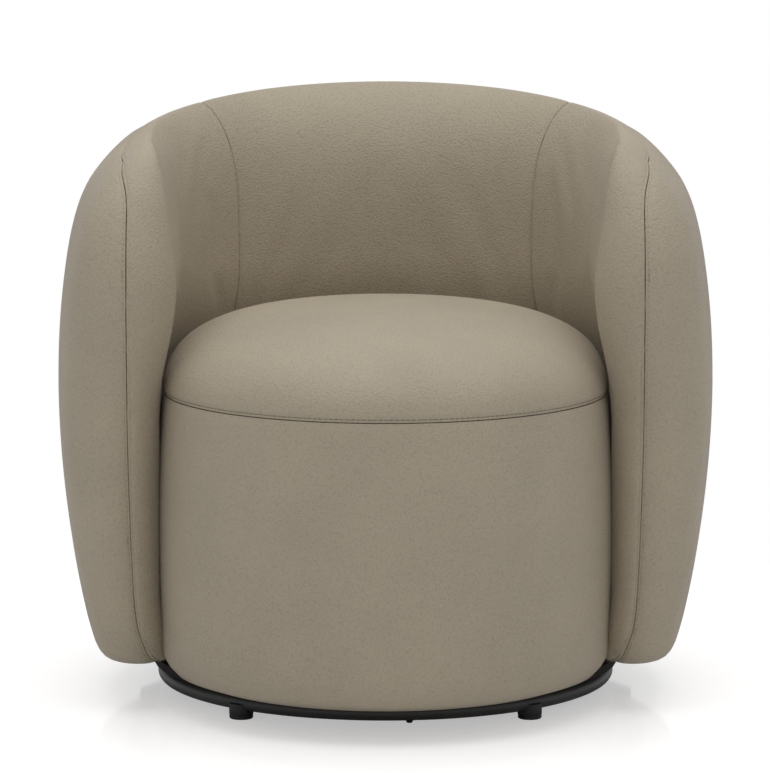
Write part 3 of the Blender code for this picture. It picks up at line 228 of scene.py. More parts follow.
class NodeBoard:
    """A material's node tree with short calls to add and join nodes."""

    def __init__(self, name: str) -> None:
        """Start a material with a Principled shader.

        Args:
            name: The material's name.
        """
        self.material = bpy.data.materials.new(name)
        self.material.use_nodes = True
        self.tree = self.material.node_tree
        self.shader = self.tree.nodes["Principled BSDF"]

    def add(self, kind: str, **settings: object) -> bpy.types.Node:
        """Add a node.

        Args:
            kind: The node's type name.
            settings: Properties of the node, or input values where the name is an input's.

        Returns:
            The new node.
        """
        node = self.tree.nodes.new(kind)
        for key, value in settings.items():
            if hasattr(node, key):
                setattr(node, key, value)
            else:
                node.inputs[key.replace("_", " ")].default_value = value
        return node

    def join(self, source: bpy.types.NodeSocket, target: bpy.types.NodeSocket) -> None:
        """Link an output to an input."""
        self.tree.links.new(source, target)

    def set(self, **values: object) -> None:
        """Set inputs of the Principled shader.

        Args:
            values: Input values, with underscores for the spaces in the names.
        """
        for key, value in values.items():
            self.shader.inputs[key.replace("_", " ")].default_value = value

    def object_space(self) -> bpy.types.NodeSocket:
        """Object coordinates."""
        return self.add("ShaderNodeTexCoord").outputs["Object"]

    def noise(self, scale: float, detail: float = 3.0, roughness: float = 0.5) -> bpy.types.Node:
        """Add a noise texture on object coordinates.

        Args:
            scale: Cells in a metre.
            detail: Octaves of finer noise.
            roughness: Strength of the finer octaves.

        Returns:
            The texture node.
        """
        node = self.add("ShaderNodeTexNoise", Scale=scale, Detail=detail, Roughness=roughness)
        self.join(self.object_space(), node.inputs["Vector"])
        return node

    def ramp(self, source: bpy.types.NodeSocket,
             stops: Sequence[tuple[float, Colour]]) -> bpy.types.NodeSocket:
        """Add a colour ramp.

        Args:
            source: The value that drives it.
            stops: Positions and colours.

        Returns:
            The ramp's colour output.
        """
        node = self.add("ShaderNodeValToRGB")
        elements = node.color_ramp.elements
        while len(elements) < len(stops):
            elements.new(0.5)
        for element, (position, colour) in zip(elements, stops):
            element.position = position
            element.color = (*colour, 1.0)
        self.join(source, node.inputs["Fac"])
        return node.outputs["Color"]

    def spread(self, source: bpy.types.NodeSocket, low: float, high: float) -> bpy.types.NodeSocket:
        """Map a value from 0..1 to another range.

        Args:
            source: The value.
            low: What zero becomes.
            high: What one becomes.

        Returns:
            The mapped value's output.
        """
        node = self.add("ShaderNodeMapRange")
        node.inputs["To Min"].default_value = low
        node.inputs["To Max"].default_value = high
        self.join(source, node.inputs["Value"])
        return node.outputs["Result"]

    def vary_roughness(self, source: bpy.types.NodeSocket, middle: float, spread: float) -> None:
        """Let the shader's roughness follow a value.

        Args:
            source: The value, from 0 to 1.
            middle: The mean roughness.
            spread: How far it goes to either side.
        """
        self.join(self.spread(source, middle - spread, middle + spread), self.shader.inputs["Roughness"])

    def bump(self, heights: Sequence[tuple[bpy.types.NodeSocket, float]]) -> None:
        """Chain bump nodes into the shader's normal.

        Args:
            heights: Height outputs, each with the depth in metres that a step from 0 to 1 stands for.
        """
        normal = None
        for source, depth in heights:
            node = self.add("ShaderNodeBump", Strength=1.0, Distance=depth)
            self.join(source, node.inputs["Height"])
            if normal is not None:
                self.join(normal, node.inputs["Normal"])
            normal = node.outputs["Normal"]
        self.join(normal, self.shader.inputs["Normal"])


def shaded(colour: Colour, factor: float) -> Colour:
    """A colour made lighter or darker."""
    return tuple(part * factor for part in colour)


def grey(value: float) -> Colour:
    """A neutral colour."""
    return (value,) * 3


@dataclass(frozen=True)
class TaupeLeather:
    """Matte taupe leather with a very fine pebble grain, and painted shade darkening the creases between
    its pebbles.
    """

    colour: Colour = (0.428, 0.369, 0.278)
    pebble_width: float = 0.0023
    pebble_depth: float = 0.00036
    # Colour factor of the painted shade in the creases between the pebbles.
    crease_painted_shade: float = 0.88
    blotch_width: float = 0.11
    blotch_contrast: float = 0.035
    roughness: float = 0.62
    roughness_spread: float = 0.07
    warp_share: float = 0.6
    fine_share: float = 1.6
    fine_depth_share: float = 0.6
    pebble_softness: float = 0.35
    slack_scale: float = 9.0
    slack_depth: float = 0.0016
    specular: float = 0.32
    sheen: float = 0.08
    sheen_roughness: float = 0.5

    def material(self) -> bpy.types.Material:
        """Build the material.

        Returns:
            The leather material.
        """
        board = NodeBoard("taupe_leather")
        warp = board.noise(self.warp_share / self.pebble_width, 2.0)
        shift = board.add("ShaderNodeVectorMath", operation="MULTIPLY_ADD")
        shift.inputs[1].default_value = grey(self.pebble_width)
        board.join(warp.outputs["Color"], shift.inputs[0])
        board.join(board.object_space(), shift.inputs[2])
        pebbles = board.add("ShaderNodeTexVoronoi", feature="SMOOTH_F1", Scale=1 / self.pebble_width,
                            Smoothness=self.pebble_softness, Randomness=1.0)
        board.join(shift.outputs["Vector"], pebbles.inputs["Vector"])
        grain = board.ramp(pebbles.outputs["Distance"],
                           [(0.25, grey(1.0)), (0.62, grey(0.35)), (0.80, grey(0.0))])
        fine = board.noise(self.fine_share / self.pebble_width, 3.0)
        blotch = board.noise(1 / self.blotch_width, 2.5, 0.55)
        light = shaded(self.colour, 1 + self.blotch_contrast)
        dark = shaded(self.colour, 1 - self.blotch_contrast)
        base = board.ramp(blotch.outputs["Fac"], [(0.34, dark), (0.66, light)])
        # Painted shade: the colour is darkened in the creases between the pebbles, where the grain's bump
        # sinks.
        crease = board.add("ShaderNodeMix", data_type="RGBA", blend_type="MULTIPLY")
        crease.inputs["Factor"].default_value = 1.0
        tone = board.ramp(grain, [(0.0, grey(self.crease_painted_shade)), (0.55, grey(1.0))])
        board.join(base, crease.inputs[6])
        board.join(tone, crease.inputs[7])
        board.join(crease.outputs[2], board.shader.inputs["Base Color"])
        board.vary_roughness(fine.outputs["Fac"], self.roughness, self.roughness_spread)
        slack = board.noise(self.slack_scale, 2.0)
        board.bump([(slack.outputs["Fac"], self.slack_depth), (grain, self.pebble_depth),
                    (fine.outputs["Fac"], self.pebble_depth * self.fine_depth_share)])
        board.set(Specular_IOR_Level=self.specular, Sheen_Weight=self.sheen,
                  Sheen_Roughness=self.sheen_roughness)
        return board.material


@dataclass(frozen=True)
class SeamThread:
    """Bonded sewing thread a shade darker than the leather."""

    colour: Colour = (0.20, 0.168, 0.122)
    twist_width: float = 0.0006
    twist_depth: float = 0.0001
    contrast: float = 0.2
    roughness: float = 0.6

    def material(self) -> bpy.types.Material:
        """Build the material.

        Returns:
            The thread's material.
        """
        board = NodeBoard("seam_thread")
        twist = board.noise(1 / self.twist_width, 2.0)
        tone = board.ramp(twist.outputs["Fac"],
                          [(0.3, shaded(self.colour, 1 - self.contrast)),
                           (0.7, shaded(self.colour, 1 + self.contrast))])
        board.join(tone, board.shader.inputs["Base Color"])
        board.bump([(twist.outputs["Fac"], self.twist_depth)])
        board.set(Roughness=self.roughness)
        return board.material


@dataclass(frozen=True)
class Speckled:
    """A finish with two tones, a varied roughness and a fine relief."""

    name: str
    light: Colour
    dark: Colour
    speck_width: float
    relief: float
    roughness: float
    roughness_spread: float = 0.06
    metallic: float = 0.0
    stretch: tuple[float, float, float] = (1.0, 1.0, 1.0)
    detail: float = 4.0

    def material(self) -> bpy.types.Material:
        """Build the material.

        Returns:
            A material whose specks may be stretched along an axis, as in wood or brushed steel.
        """
        board = NodeBoard(self.name)
        place = board.add("ShaderNodeMapping")
        place.inputs["Scale"].default_value = self.stretch
        board.join(board.object_space(), place.inputs["Vector"])
        specks = board.add("ShaderNodeTexNoise", Scale=1 / self.speck_width, Detail=self.detail)
        board.join(place.outputs["Vector"], specks.inputs["Vector"])
        tone = board.ramp(specks.outputs["Fac"], [(0.3, self.dark), (0.7, self.light)])
        board.join(tone, board.shader.inputs["Base Color"])
        board.vary_roughness(specks.outputs["Fac"], self.roughness, self.roughness_spread)
        board.bump([(specks.outputs["Fac"], self.relief)])
        board.set(Metallic=self.metallic)
        return board.material


@dataclass(frozen=True)
class WovenWebbing:
    """Elastic webbing: warp and weft that cross at right angles."""

    colour: Colour = (0.22, 0.19, 0.15)
    yarn_width: float = 0.0022
    yarn_depth: float = 0.0006
    waviness: float = 0.4
    roughness: float = 0.88

    def material(self) -> bpy.types.Material:
        """Build the material.

        Returns:
            The webbing's material.
        """
        board = NodeBoard("woven_webbing")
        bands = []
        for direction in ("X", "Y"):
            wave = board.add("ShaderNodeTexWave", wave_type="BANDS", bands_direction=direction,
                             Scale=math.pi / 10 / self.yarn_width, Distortion=self.waviness)
            board.join(board.object_space(), wave.inputs["Vector"])
            bands.append(wave.outputs["Fac"])
        weave = board.add("ShaderNodeMath", operation="MULTIPLY")
        board.join(bands[0], weave.inputs[0])
        board.join(bands[1], weave.inputs[1])
        tone = board.ramp(weave.outputs["Value"],
                          [(0.0, shaded(self.colour, 0.6)), (0.6, shaded(self.colour, 1.25))])
        board.join(tone, board.shader.inputs["Base Color"])
        board.bump([(weave.outputs["Value"], self.yarn_depth)])
        board.set(Roughness=self.roughness)
        return board.material


POWDER_COAT = Speckled("black_powder_coat", (0.056, 0.056, 0.057), (0.040, 0.040, 0.041), 0.0012,
                       0.00006, 0.40)
GLIDE_PLASTIC = Speckled("glide_plastic", (0.030, 0.030, 0.031), (0.019, 0.019, 0.020), 0.0009,
                         0.00005, 0.50)
BLACK_SCREW = Speckled("blackened_screw", (0.028, 0.027, 0.026), (0.014, 0.014, 0.014), 0.0006,
                       0.00004, 0.38, metallic=0.7)
ZINC_STEEL = Speckled("zinc_plated_steel", (0.66, 0.66, 0.64), (0.52, 0.52, 0.51), 0.004, 0.00005,
                      0.38, 0.10, 1.0)
BALL_STEEL = Speckled("bright_steel", (0.70, 0.70, 0.69), (0.60, 0.60, 0.59), 0.002, 0.00002, 0.22,
                      0.05, 1.0)
STAINED_BOARD = Speckled("black_stained_board", (0.010, 0.010, 0.010), (0.005, 0.005, 0.005), 0.006,
                         0.0002, 0.80, stretch=(1.0, 0.12, 1.0))
PLYWOOD = Speckled("frame_plywood", (0.74, 0.57, 0.38), (0.60, 0.43, 0.26), 0.004, 0.0002, 0.70,
                   stretch=(0.15, 1.0, 3.0))
HARDBOARD = Speckled("hardboard", (0.48, 0.34, 0.21), (0.37, 0.25, 0.15), 0.0015, 0.00015, 0.75)


# The forms that the panels lie on

def length_table(places: np.ndarray) -> np.ndarray:
    """Measure along a row of points.

    Args:
        places: The points, one in a row.

    Returns:
        The distance to each point, starting at zero.
    """
    steps = np.linalg.norm(np.diff(places, axis=0), axis=1)
    return np.concatenate([[0.0], np.cumsum(steps)])


def ramp_up(value: np.ndarray, start: float, end: float) -> np.ndarray:
    """Rise smoothly from nothing to one.

    Args:
        value: The values.
        start: Where the rise starts; below it is nothing.
        end: Where the rise ends; above it is one.

    Returns:
        A share for each value.
    """
    share = np.clip((value - start) / (end - start), 0.0, 1.0)
    return share * share * (3.0 - 2.0 * share)


def rounded(distance: np.ndarray, reach: float) -> np.ndarray:
    """Fall from one at an edge to zero, as a quarter of an ellipse does.

    Args:
        distance: Distances from the edge.
        reach: Where the fall ends.

    Returns:
        A share for each distance.
    """
    near = np.clip(1.0 - distance / reach, 0.0, 1.0)
    return 1.0 - np.sqrt(1.0 - near ** 2)


@dataclass
class ShellForm:
    """The C-shaped wall of arms and back, as a surface over two lengths.

    One length runs round the wall from the centre of the back, positive to +X, and on round the nose.
    The other runs up the outer face from its bottom, over the crest and down the inner face.
    """

    half_width: float
    bottom: float
    seat_seam: float
    wall_mid_depth: float = 0.0655
    centre_y: float = -0.0023
    front_reach: float = 0.57
    nose_centre_depth: float = 0.166
    nose_length_share: float = 1.05
    nose_quarter: float = 0.108
    nose_from: float = 0.9 * QUARTER
    nose_lift: float = 0.0078
    nose_lift_height: float = 0.15
    waist: float = 0.3824
    side_crest: float = 0.6884
    back_crest: float = 0.7146
    crest_spread: float = 1.87
    side_crest_depth: float = 0.1129
    back_crest_depth: float = 0.0653
    bottom_draw_in: float = 0.0445
    shoulder_power: float = 3.277
    shoulder_round: float = 0.648
    inner_shoulder_round: float = 0.8
    wall_low: float = 0.1125
    wall_high: float = 0.1375
    arm_thickening: float = 0.011
    arm_from: float = 0.5 * QUARTER
    arm_to: float = 0.95 * QUARTER
    nose_thinning: float = 0.80
    nose_flare: float = 0.013
    flare_from: float = 0.45
    flare_to: float = 0.61
    foot_lean: float = 0.012
    foot_lean_top: float = 0.150
    inner_edge: float = 0.008
    swell_below_seam: float = 0.0307
    swell_above_seam: float = 0.1150
    nose_swell_above: float = 0.0350
    nose_swell_from: float = 0.7 * QUARTER
    shoulder_above_seam: float = 0.0943
    inner_shoulder_power: float = 4.0
    bottom_edge: float = 0.024
    set_back: float = 0.045
    set_back_height: float = 0.085
    nose_fall: float = 0.012
    top_set_back: float = 0.080
    top_set_back_height: float = 0.170
    trim_heights: tuple[float, ...] = (0.060, 0.100, 0.200, 0.280, 0.380, 0.427, 0.475, 0.500, 0.524,
                                       0.548, 0.572, 0.597, 0.621, 0.633, 0.648, 0.665)
    trims: tuple[float, ...] = (-0.0005, 0.0006, -0.0006, 0.0, 0.0010, 0.0004, -0.0010, -0.0017, -0.0019,
                                -0.0010, 0.0006, 0.0030, 0.0044, 0.0034, 0.0012, -0.0010)
    tuck_lift: float = 0.05
    measured_turn: float = 0.8 * QUARTER
    samples: int = 400
    wall_mid: float = field(init=False)
    nose_turn: float = field(init=False)
    nose_run: float = field(init=False)
    tip_run: float = field(init=False)
    crest_rise: float = field(init=False)
    end_rise: float = field(init=False)
    turns: np.ndarray = field(init=False)
    runs: np.ndarray = field(init=False)
    shares: np.ndarray = field(init=False)
    outer_rises: np.ndarray = field(init=False)
    inner_rises: np.ndarray = field(init=False)

    def __post_init__(self) -> None:
        """Measure the two lengths, so that a panel's cells come out even."""
        self.wall_mid = self.half_width - self.wall_mid_depth
        self.nose_turn = QUARTER + math.asin(self.nose_centre_depth / self.front_reach)
        self.turns = np.linspace(0.0, self.nose_turn, self.samples)
        x, y, _, _ = self.wall_line(self.turns)
        self.runs = length_table(np.stack([x, y], axis=1))
        self.nose_run = float(self.runs[-1])
        self.tip_run = self.nose_run + self.nose_quarter
        self.shares = 1.0 - np.linspace(1.0, 0.0, self.samples) ** 2
        turn = np.full_like(self.shares, self.measured_turn)
        self.outer_rises = length_table(np.stack(self.face(turn, self.shares, True), axis=1))
        self.inner_rises = length_table(np.stack(self.face(turn, self.shares, False), axis=1))
        self.crest_rise = float(self.outer_rises[-1])
        self.end_rise = self.crest_rise + float(self.inner_rises[-1])

    def run_at(self, turn: float) -> float:
        """Length round the wall at a turn from the centre of the back."""
        return float(np.interp(turn, self.turns, self.runs))

    def rise_outside(self, share: float) -> float:
        """Length up the outer face at a share of the way from the bottom to the crest."""
        return float(np.interp(share, self.shares, self.outer_rises))

    def rise_inside(self, share: float) -> float:
        """Length over the crest and down the inner face to a share of the crest's height."""
        return self.end_rise - float(np.interp(share, self.shares, self.inner_rises))

    def rises(self, cell: float, hem: float) -> np.ndarray:
        """Rows over the wall at the same shares on both faces, so that the nose can close.

        Args:
            cell: Widest spacing on the outer face.
            hem: Length turned under at each end.

        Returns:
            Lengths from the outer hem over the crest to the inner hem.
        """
        count = math.ceil(self.crest_rise / cell)
        outer = np.linspace(0.0, self.crest_rise, count + 1)
        share = np.interp(outer, self.outer_rises, self.shares)
        inner = self.end_rise - np.interp(share, self.shares, self.inner_rises)
        tuck = np.linspace(hem, hem / TUCK_ROWS, TUCK_ROWS)
        return np.concatenate([-tuck, outer, inner[::-1][1:], self.end_rise + tuck[::-1]])

    def wall_line(self, turn: np.ndarray) -> tuple[np.ndarray, ...]:
        """Middle line of the wall on the +X side.

        Args:
            turn: Angles from the centre of the back: a circle to the side, then an ellipse.

        Returns:
            Places x and y, and the outward direction's x and y.
        """
        back = np.minimum(turn, QUARTER)
        ahead = np.maximum(turn - QUARTER, 0.0)
        x = self.wall_mid * np.sin(back) * np.cos(ahead)
        y = self.centre_y + self.wall_mid * np.cos(back) - self.front_reach * np.sin(ahead)
        across = np.sin(back) * np.cos(ahead) / self.wall_mid
        along = np.cos(back) / self.wall_mid - np.sin(ahead) / self.front_reach
        size = np.hypot(across, along)
        return x, y, across / size, along / size

    def crest(self, turn: np.ndarray) -> tuple[np.ndarray, np.ndarray]:
        """Find the rim's highest line.

        Args:
            turn: Angles from the centre of the back.

        Returns:
            Its heights, and its distances outward from the middle line.
        """
        weight = np.cos(np.minimum(turn, QUARTER)) ** self.crest_spread
        height = self.side_crest + (self.back_crest - self.side_crest) * weight
        height = height - self.nose_fall * ramp_up(turn, self.nose_from, self.nose_turn)
        depth = self.side_crest_depth + (self.back_crest_depth - self.side_crest_depth) * weight
        return height, self.wall_mid_depth - depth

    def edge_rounding(self, height: np.ndarray, radius: float) -> np.ndarray:
        """How far the wall's faces draw in at the rounded bottom edge."""
        return radius * rounded(height - self.bottom, radius)

    def outer_face(self, turn: np.ndarray, height: np.ndarray) -> np.ndarray:
        """Find the outer face.

        Args:
            turn: Angles from the centre of the back.
            height: Heights above the floor.

        Returns:
            Its distances outward from the middle line.
        """
        crest_height, crest_offset = self.crest(turn)
        widest = self.wall_mid_depth + np.interp(height, self.trim_heights, self.trims)
        drop = self.bottom_draw_in * ((self.waist - height) / (self.waist - self.bottom)) ** 2
        low = widest - drop - self.edge_rounding(height, self.bottom_edge)
        climb = np.clip((height - self.waist) / (crest_height - self.waist), 0.0, 1.0)
        fall = (1.0 - climb ** self.shoulder_power) ** self.shoulder_round
        return np.where(height <= self.waist, low, crest_offset + (widest - crest_offset) * fall)

    def inner_face(self, turn: np.ndarray, height: np.ndarray) -> np.ndarray:
        """Find the inner face, which swells over the seat and leans in at the foot.

        Args:
            turn: Angles from the centre of the back.
            height: Heights above the floor.

        Returns:
            Its distances outward from the middle line.
        """
        crest_height, crest_offset = self.crest(turn)
        start = self.seat_seam - self.swell_below_seam
        above = self.swell_above_seam + self.nose_swell_above * ramp_up(turn, self.nose_swell_from, QUARTER)
        swell = ramp_up(height, start, self.seat_seam + above)
        arm = self.arm_thickening * ramp_up(turn, self.arm_from, self.arm_to)
        arm = arm * (1.0 - self.nose_thinning * ramp_up(turn, QUARTER, self.nose_turn))
        flare = self.nose_flare * ramp_up(turn, self.nose_from, self.nose_turn)
        lean = self.foot_lean * ramp_up(-height, -self.foot_lean_top, -self.bottom)
        wall = self.wall_mid_depth - self.wall_low - (self.wall_high + arm - self.wall_low) * swell
        shoulder = self.seat_seam + self.shoulder_above_seam
        climb = np.clip((height - shoulder) / (crest_height - shoulder), 0.0, 1.0)
        fall = (1.0 - climb ** self.inner_shoulder_power) ** self.inner_shoulder_round
        wall = wall + flare * ramp_up(height, self.flare_from, self.flare_to)
        low = wall - lean + self.edge_rounding(height, self.inner_edge)
        return np.where(height <= shoulder, low, crest_offset + (wall - crest_offset) * fall)

    def face(self, turn: np.ndarray, share: np.ndarray, outer: bool) -> tuple[np.ndarray, np.ndarray]:
        """Find places on one face of the wall.

        Args:
            turn: Angles from the centre of the back.
            share: Shares of the way from the bottom to the crest.
            outer: True for the outer face.

        Returns:
            Offsets, outward positive, and heights.
        """
        height = self.bottom + (self.crest(turn)[0] - self.bottom) * share
        return (self.outer_face if outer else self.inner_face)(turn, height), height

    def spot(self, turn: np.ndarray, swing: np.ndarray, share: np.ndarray,
             tucked: np.ndarray | float = 0.0) -> np.ndarray:
        """Find places on the +X half.

        Args:
            turn: Angles round the wall, no further than the nose.
            swing: Angles round the nose, from none on the outer face to a half turn on the inner one.
            share: Shares of the way from the bottom to the crest.
            tucked: Lengths that the hem is turned under.

        Returns:
            An array of places, with x, y and z last.
        """
        outer_offset, height = self.face(turn, share, True)
        inner_offset, _ = self.face(turn, share, False)
        half = np.maximum((outer_offset - inner_offset) / 2 - tucked, 0.0)
        arm = np.clip((turn - QUARTER) / (self.nose_turn - QUARTER), 0.0, 1.0)
        back = ramp_up(turn, self.nose_from, self.nose_turn) * np.maximum(
            rounded(height - self.bottom, self.set_back_height) * self.set_back,
            rounded(self.side_crest - height, self.top_set_back_height) * self.top_set_back)
        ahead = half * self.nose_length_share * np.sin(swing) - back
        x, y, out_x, out_y = self.wall_line(turn + ahead / self.front_reach)
        offset = (outer_offset + inner_offset) / 2 + half * np.cos(swing)
        low = np.clip(1.0 - (height - self.bottom) / self.nose_lift_height, 0.0, 1.0)
        lift = self.nose_lift * low * arm ** 2 + tucked * self.tuck_lift
        return np.stack([x + out_x * offset, y + out_y * offset, height + lift], axis=-1)

    def place(self, run: np.ndarray, rise: np.ndarray) -> np.ndarray:
        """Find places on the shell.

        Args:
            run: Lengths round the wall, negative to -X.
            rise: Lengths up the outer face and down the inner one; ones beyond turn under the hem.

        Returns:
            An array of places, with x, y and z last.
        """
        along = np.abs(run)
        turn = np.interp(along, self.runs, self.turns)
        round_nose = np.clip((along - self.nose_run) / self.nose_quarter, 0.0, 1.0) * QUARTER
        tucked = np.maximum(-rise, 0.0) + np.maximum(rise - self.end_rise, 0.0)
        on_outer = np.interp(rise, self.outer_rises, self.shares)
        on_inner = np.interp(self.end_rise - rise, self.inner_rises, self.shares)
        inside = rise > self.crest_rise
        share = np.where(inside, on_inner, on_outer)
        swing = np.where(inside, math.pi - round_nose, round_nose)
        found = self.spot(turn, swing, share, tucked)
        found[..., 0] *= np.where(run < 0.0, -1.0, 1.0)
        return found


@dataclass
class DrumForm:
    """The seat drum: two half circles joined by straight sides, with a crowned top.

    One length runs round the drum from the centre of its back, positive to +X. The other runs up its
    side from the bottom to the seam, and on over the top to the centre.
    """

    radius: float
    bottom: float
    seam: float
    front_centre: float = -0.110
    rear_centre: float = -0.012
    seam_draw: float = 0.009
    foot_draw: float = 0.006
    widest: float = 0.215
    front_drop: float = 0.0072
    drop_from: float = 0.08
    drop_to: float = 0.20
    drop_height: float = 0.07
    crown: float = 0.0952
    crown_power: float = 3.2
    crown_round: float = 2.1
    hem_radius: float = 0.040
    top_spacing: float = 2.2
    tuck_lift: float = 0.03
    samples: int = 600
    middle_y: float = field(init=False)
    half_run: float = field(init=False)
    side_rise: float = field(init=False)
    top_rise: float = field(init=False)
    marks: np.ndarray = field(init=False)
    runs: np.ndarray = field(init=False)
    tops: np.ndarray = field(init=False)
    top_rises: np.ndarray = field(init=False)

    def __post_init__(self) -> None:
        """Measure the lengths round the drum and over its top."""
        self.middle_y = (self.front_centre + self.rear_centre) / 2
        self.marks = np.linspace(0.0, 1.0, self.samples)
        self.runs = length_table(np.stack(self.outline(self.marks, self.radius), axis=1))
        self.half_run = float(self.runs[-1])
        self.tops = 1.0 - self.marks ** self.top_spacing
        reach = (self.radius - self.seam_draw) * self.tops
        self.top_rises = length_table(np.stack([reach, self.crown_height(self.tops)], axis=1))
        self.side_rise = self.seam - self.bottom
        self.top_rise = float(self.top_rises[-1])

    def outline(self, mark: np.ndarray, radius: np.ndarray | float) -> tuple[np.ndarray, np.ndarray]:
        """Draw the outline of the +X half, from the back centre to the front centre.

        Args:
            mark: Shares of the way, in the order back arc, straight side, front arc.
            radius: Radius of both arcs.

        Returns:
            Places x and y.
        """
        straight = self.rear_centre - self.front_centre
        whole = math.pi * self.radius + straight
        length = mark * whole
        quarter = QUARTER * self.radius
        back = np.clip(length / quarter, 0.0, 1.0) * QUARTER
        side = np.clip(length - quarter, 0.0, straight)
        front = np.clip((length - quarter - straight) / quarter, 0.0, 1.0) * QUARTER
        angle = back + front
        return np.sin(angle) * radius, self.rear_centre - side + np.cos(angle) * radius

    def crown_height(self, share: np.ndarray) -> np.ndarray:
        """Height of the top at a share of the way from its centre to the seam."""
        return self.seam + self.crown * (1.0 - share ** self.crown_power) ** (1.0 / self.crown_round)

    def side_radius(self, height: np.ndarray) -> np.ndarray:
        """Find the side, which draws in toward the seam and the foot.

        Args:
            height: Heights above the floor.

        Returns:
            The radius of the arcs at each height.
        """
        over = np.clip((height - self.widest) / (self.seam - self.widest), 0.0, 1.0)
        under = np.clip((self.widest - height) / (self.widest - self.bottom), 0.0, 1.0)
        edge = self.hem_radius * rounded(height - self.bottom, self.hem_radius)
        return self.radius - self.seam_draw * over ** 2 - self.foot_draw * under ** 2 - edge

    def spot(self, run: np.ndarray, radius: np.ndarray) -> tuple[np.ndarray, np.ndarray]:
        """Find places round the drum.

        Args:
            run: Lengths from the centre of the back, positive to +X.
            radius: Radius of the arcs.

        Returns:
            Places x and y.
        """
        lap = np.mod(run, 2 * self.half_run)
        mark = np.interp(np.minimum(lap, 2 * self.half_run - lap), self.runs, self.marks)
        x, y = self.outline(mark, radius)
        return np.where(lap > self.half_run, -1.0, 1.0) * x, y

    def share_at(self, places: np.ndarray) -> np.ndarray:
        """Find how far out places on the top lie.

        Args:
            places: The places, one in a row.

        Returns:
            The share of the way from the top's centre to the seam.
        """
        height = np.clip((places[:, 2] - self.seam) / self.crown, 0.0, 1.0)
        return (1.0 - height ** self.crown_round) ** (1.0 / self.crown_power)

    def from_centre(self) -> np.ndarray:
        """Lengths from the top's centre, in the order of growing shares."""
        return (self.top_rise - self.top_rises)[::-1]

    def place_side(self, run: np.ndarray, rise: np.ndarray) -> np.ndarray:
        """Find places on the drum's side.

        Args:
            run: Lengths round the drum.
            rise: Lengths up from the bottom; negative ones turn under the hem.

        Returns:
            An array of places, with x, y and z last.
        """
        height = self.bottom + np.maximum(rise, 0.0)
        tucked = np.maximum(-rise, 0.0)
        x, y = self.spot(run, self.side_radius(height) - tucked)
        low = 1.0 - ramp_up(height - self.bottom, 0.0, self.drop_height)
        drop = self.front_drop * ramp_up(-y, self.drop_from, self.drop_to) * low
        return np.stack([x, y, height + tucked * self.tuck_lift - drop], axis=-1)

    def place_top(self, run: np.ndarray, rise: np.ndarray) -> np.ndarray:
        """Find places on the drum's top.

        Args:
            run: Lengths round the drum.
            rise: Lengths over the top from the seam.

        Returns:
            An array of places, with x, y and z last.
        """
        share = np.interp(rise, self.top_rises, self.tops)
        x, y = self.spot(run, np.full_like(run, self.radius - self.seam_draw))
        height = self.crown_height(share)
        return np.stack([x * share, self.middle_y + (y - self.middle_y) * share, height], axis=-1)


# Leather panels

@dataclass(frozen=True)
class Sewing:
    """Measures of a turned and sewn edge."""

    half_gap: float = 0.0003
    fold_radius: float = 0.0014
    turn_in: float = 0.0060
    dip: float = 0.0012
    dip_width: float = 0.0070
    stitch_set: float = 0.0036
    stitch_dip: float = 0.00050
    stitch_width: float = 0.0009
    pinned: float = 0.006
    eased: float = 0.034
    snap_share: float = 0.1
    rim_share: float = 0.06
    turn_rows: int = 2
    fold_shares: tuple[float, ...] = (0.0, 0.12, 0.40, 1.0)
    loops: tuple[float, ...] = (0.0026, 0.0032, 0.0036, 0.0040, 0.0048, 0.0066, 0.0100)

    def levels(self) -> list[float]:
        """Distances from the seam at which the leather gets an edge loop."""
        return [self.half_gap + self.fold_radius * share for share in self.fold_shares] + list(self.loops)

    def depth(self, distance: np.ndarray, stitched: bool) -> np.ndarray:
        """Find how deep the leather lies below its form.

        Args:
            distance: Distances from the seam.
            stitched: True where a topstitch draws a groove beside the seam.

        Returns:
            The depth at each distance.
        """
        near = np.clip(1.0 - (distance - self.half_gap) / self.fold_radius, 0.0, 1.0)
        fold = self.fold_radius * (1.0 - np.sqrt(1.0 - near ** 2))
        dip = self.dip * np.exp(-(distance / self.dip_width) ** 2)
        groove = self.stitch_dip * np.exp(-((distance - self.stitch_set) / self.stitch_width) ** 2)
        return fold + dip + (groove if stitched else 0.0)


SEWING = Sewing()


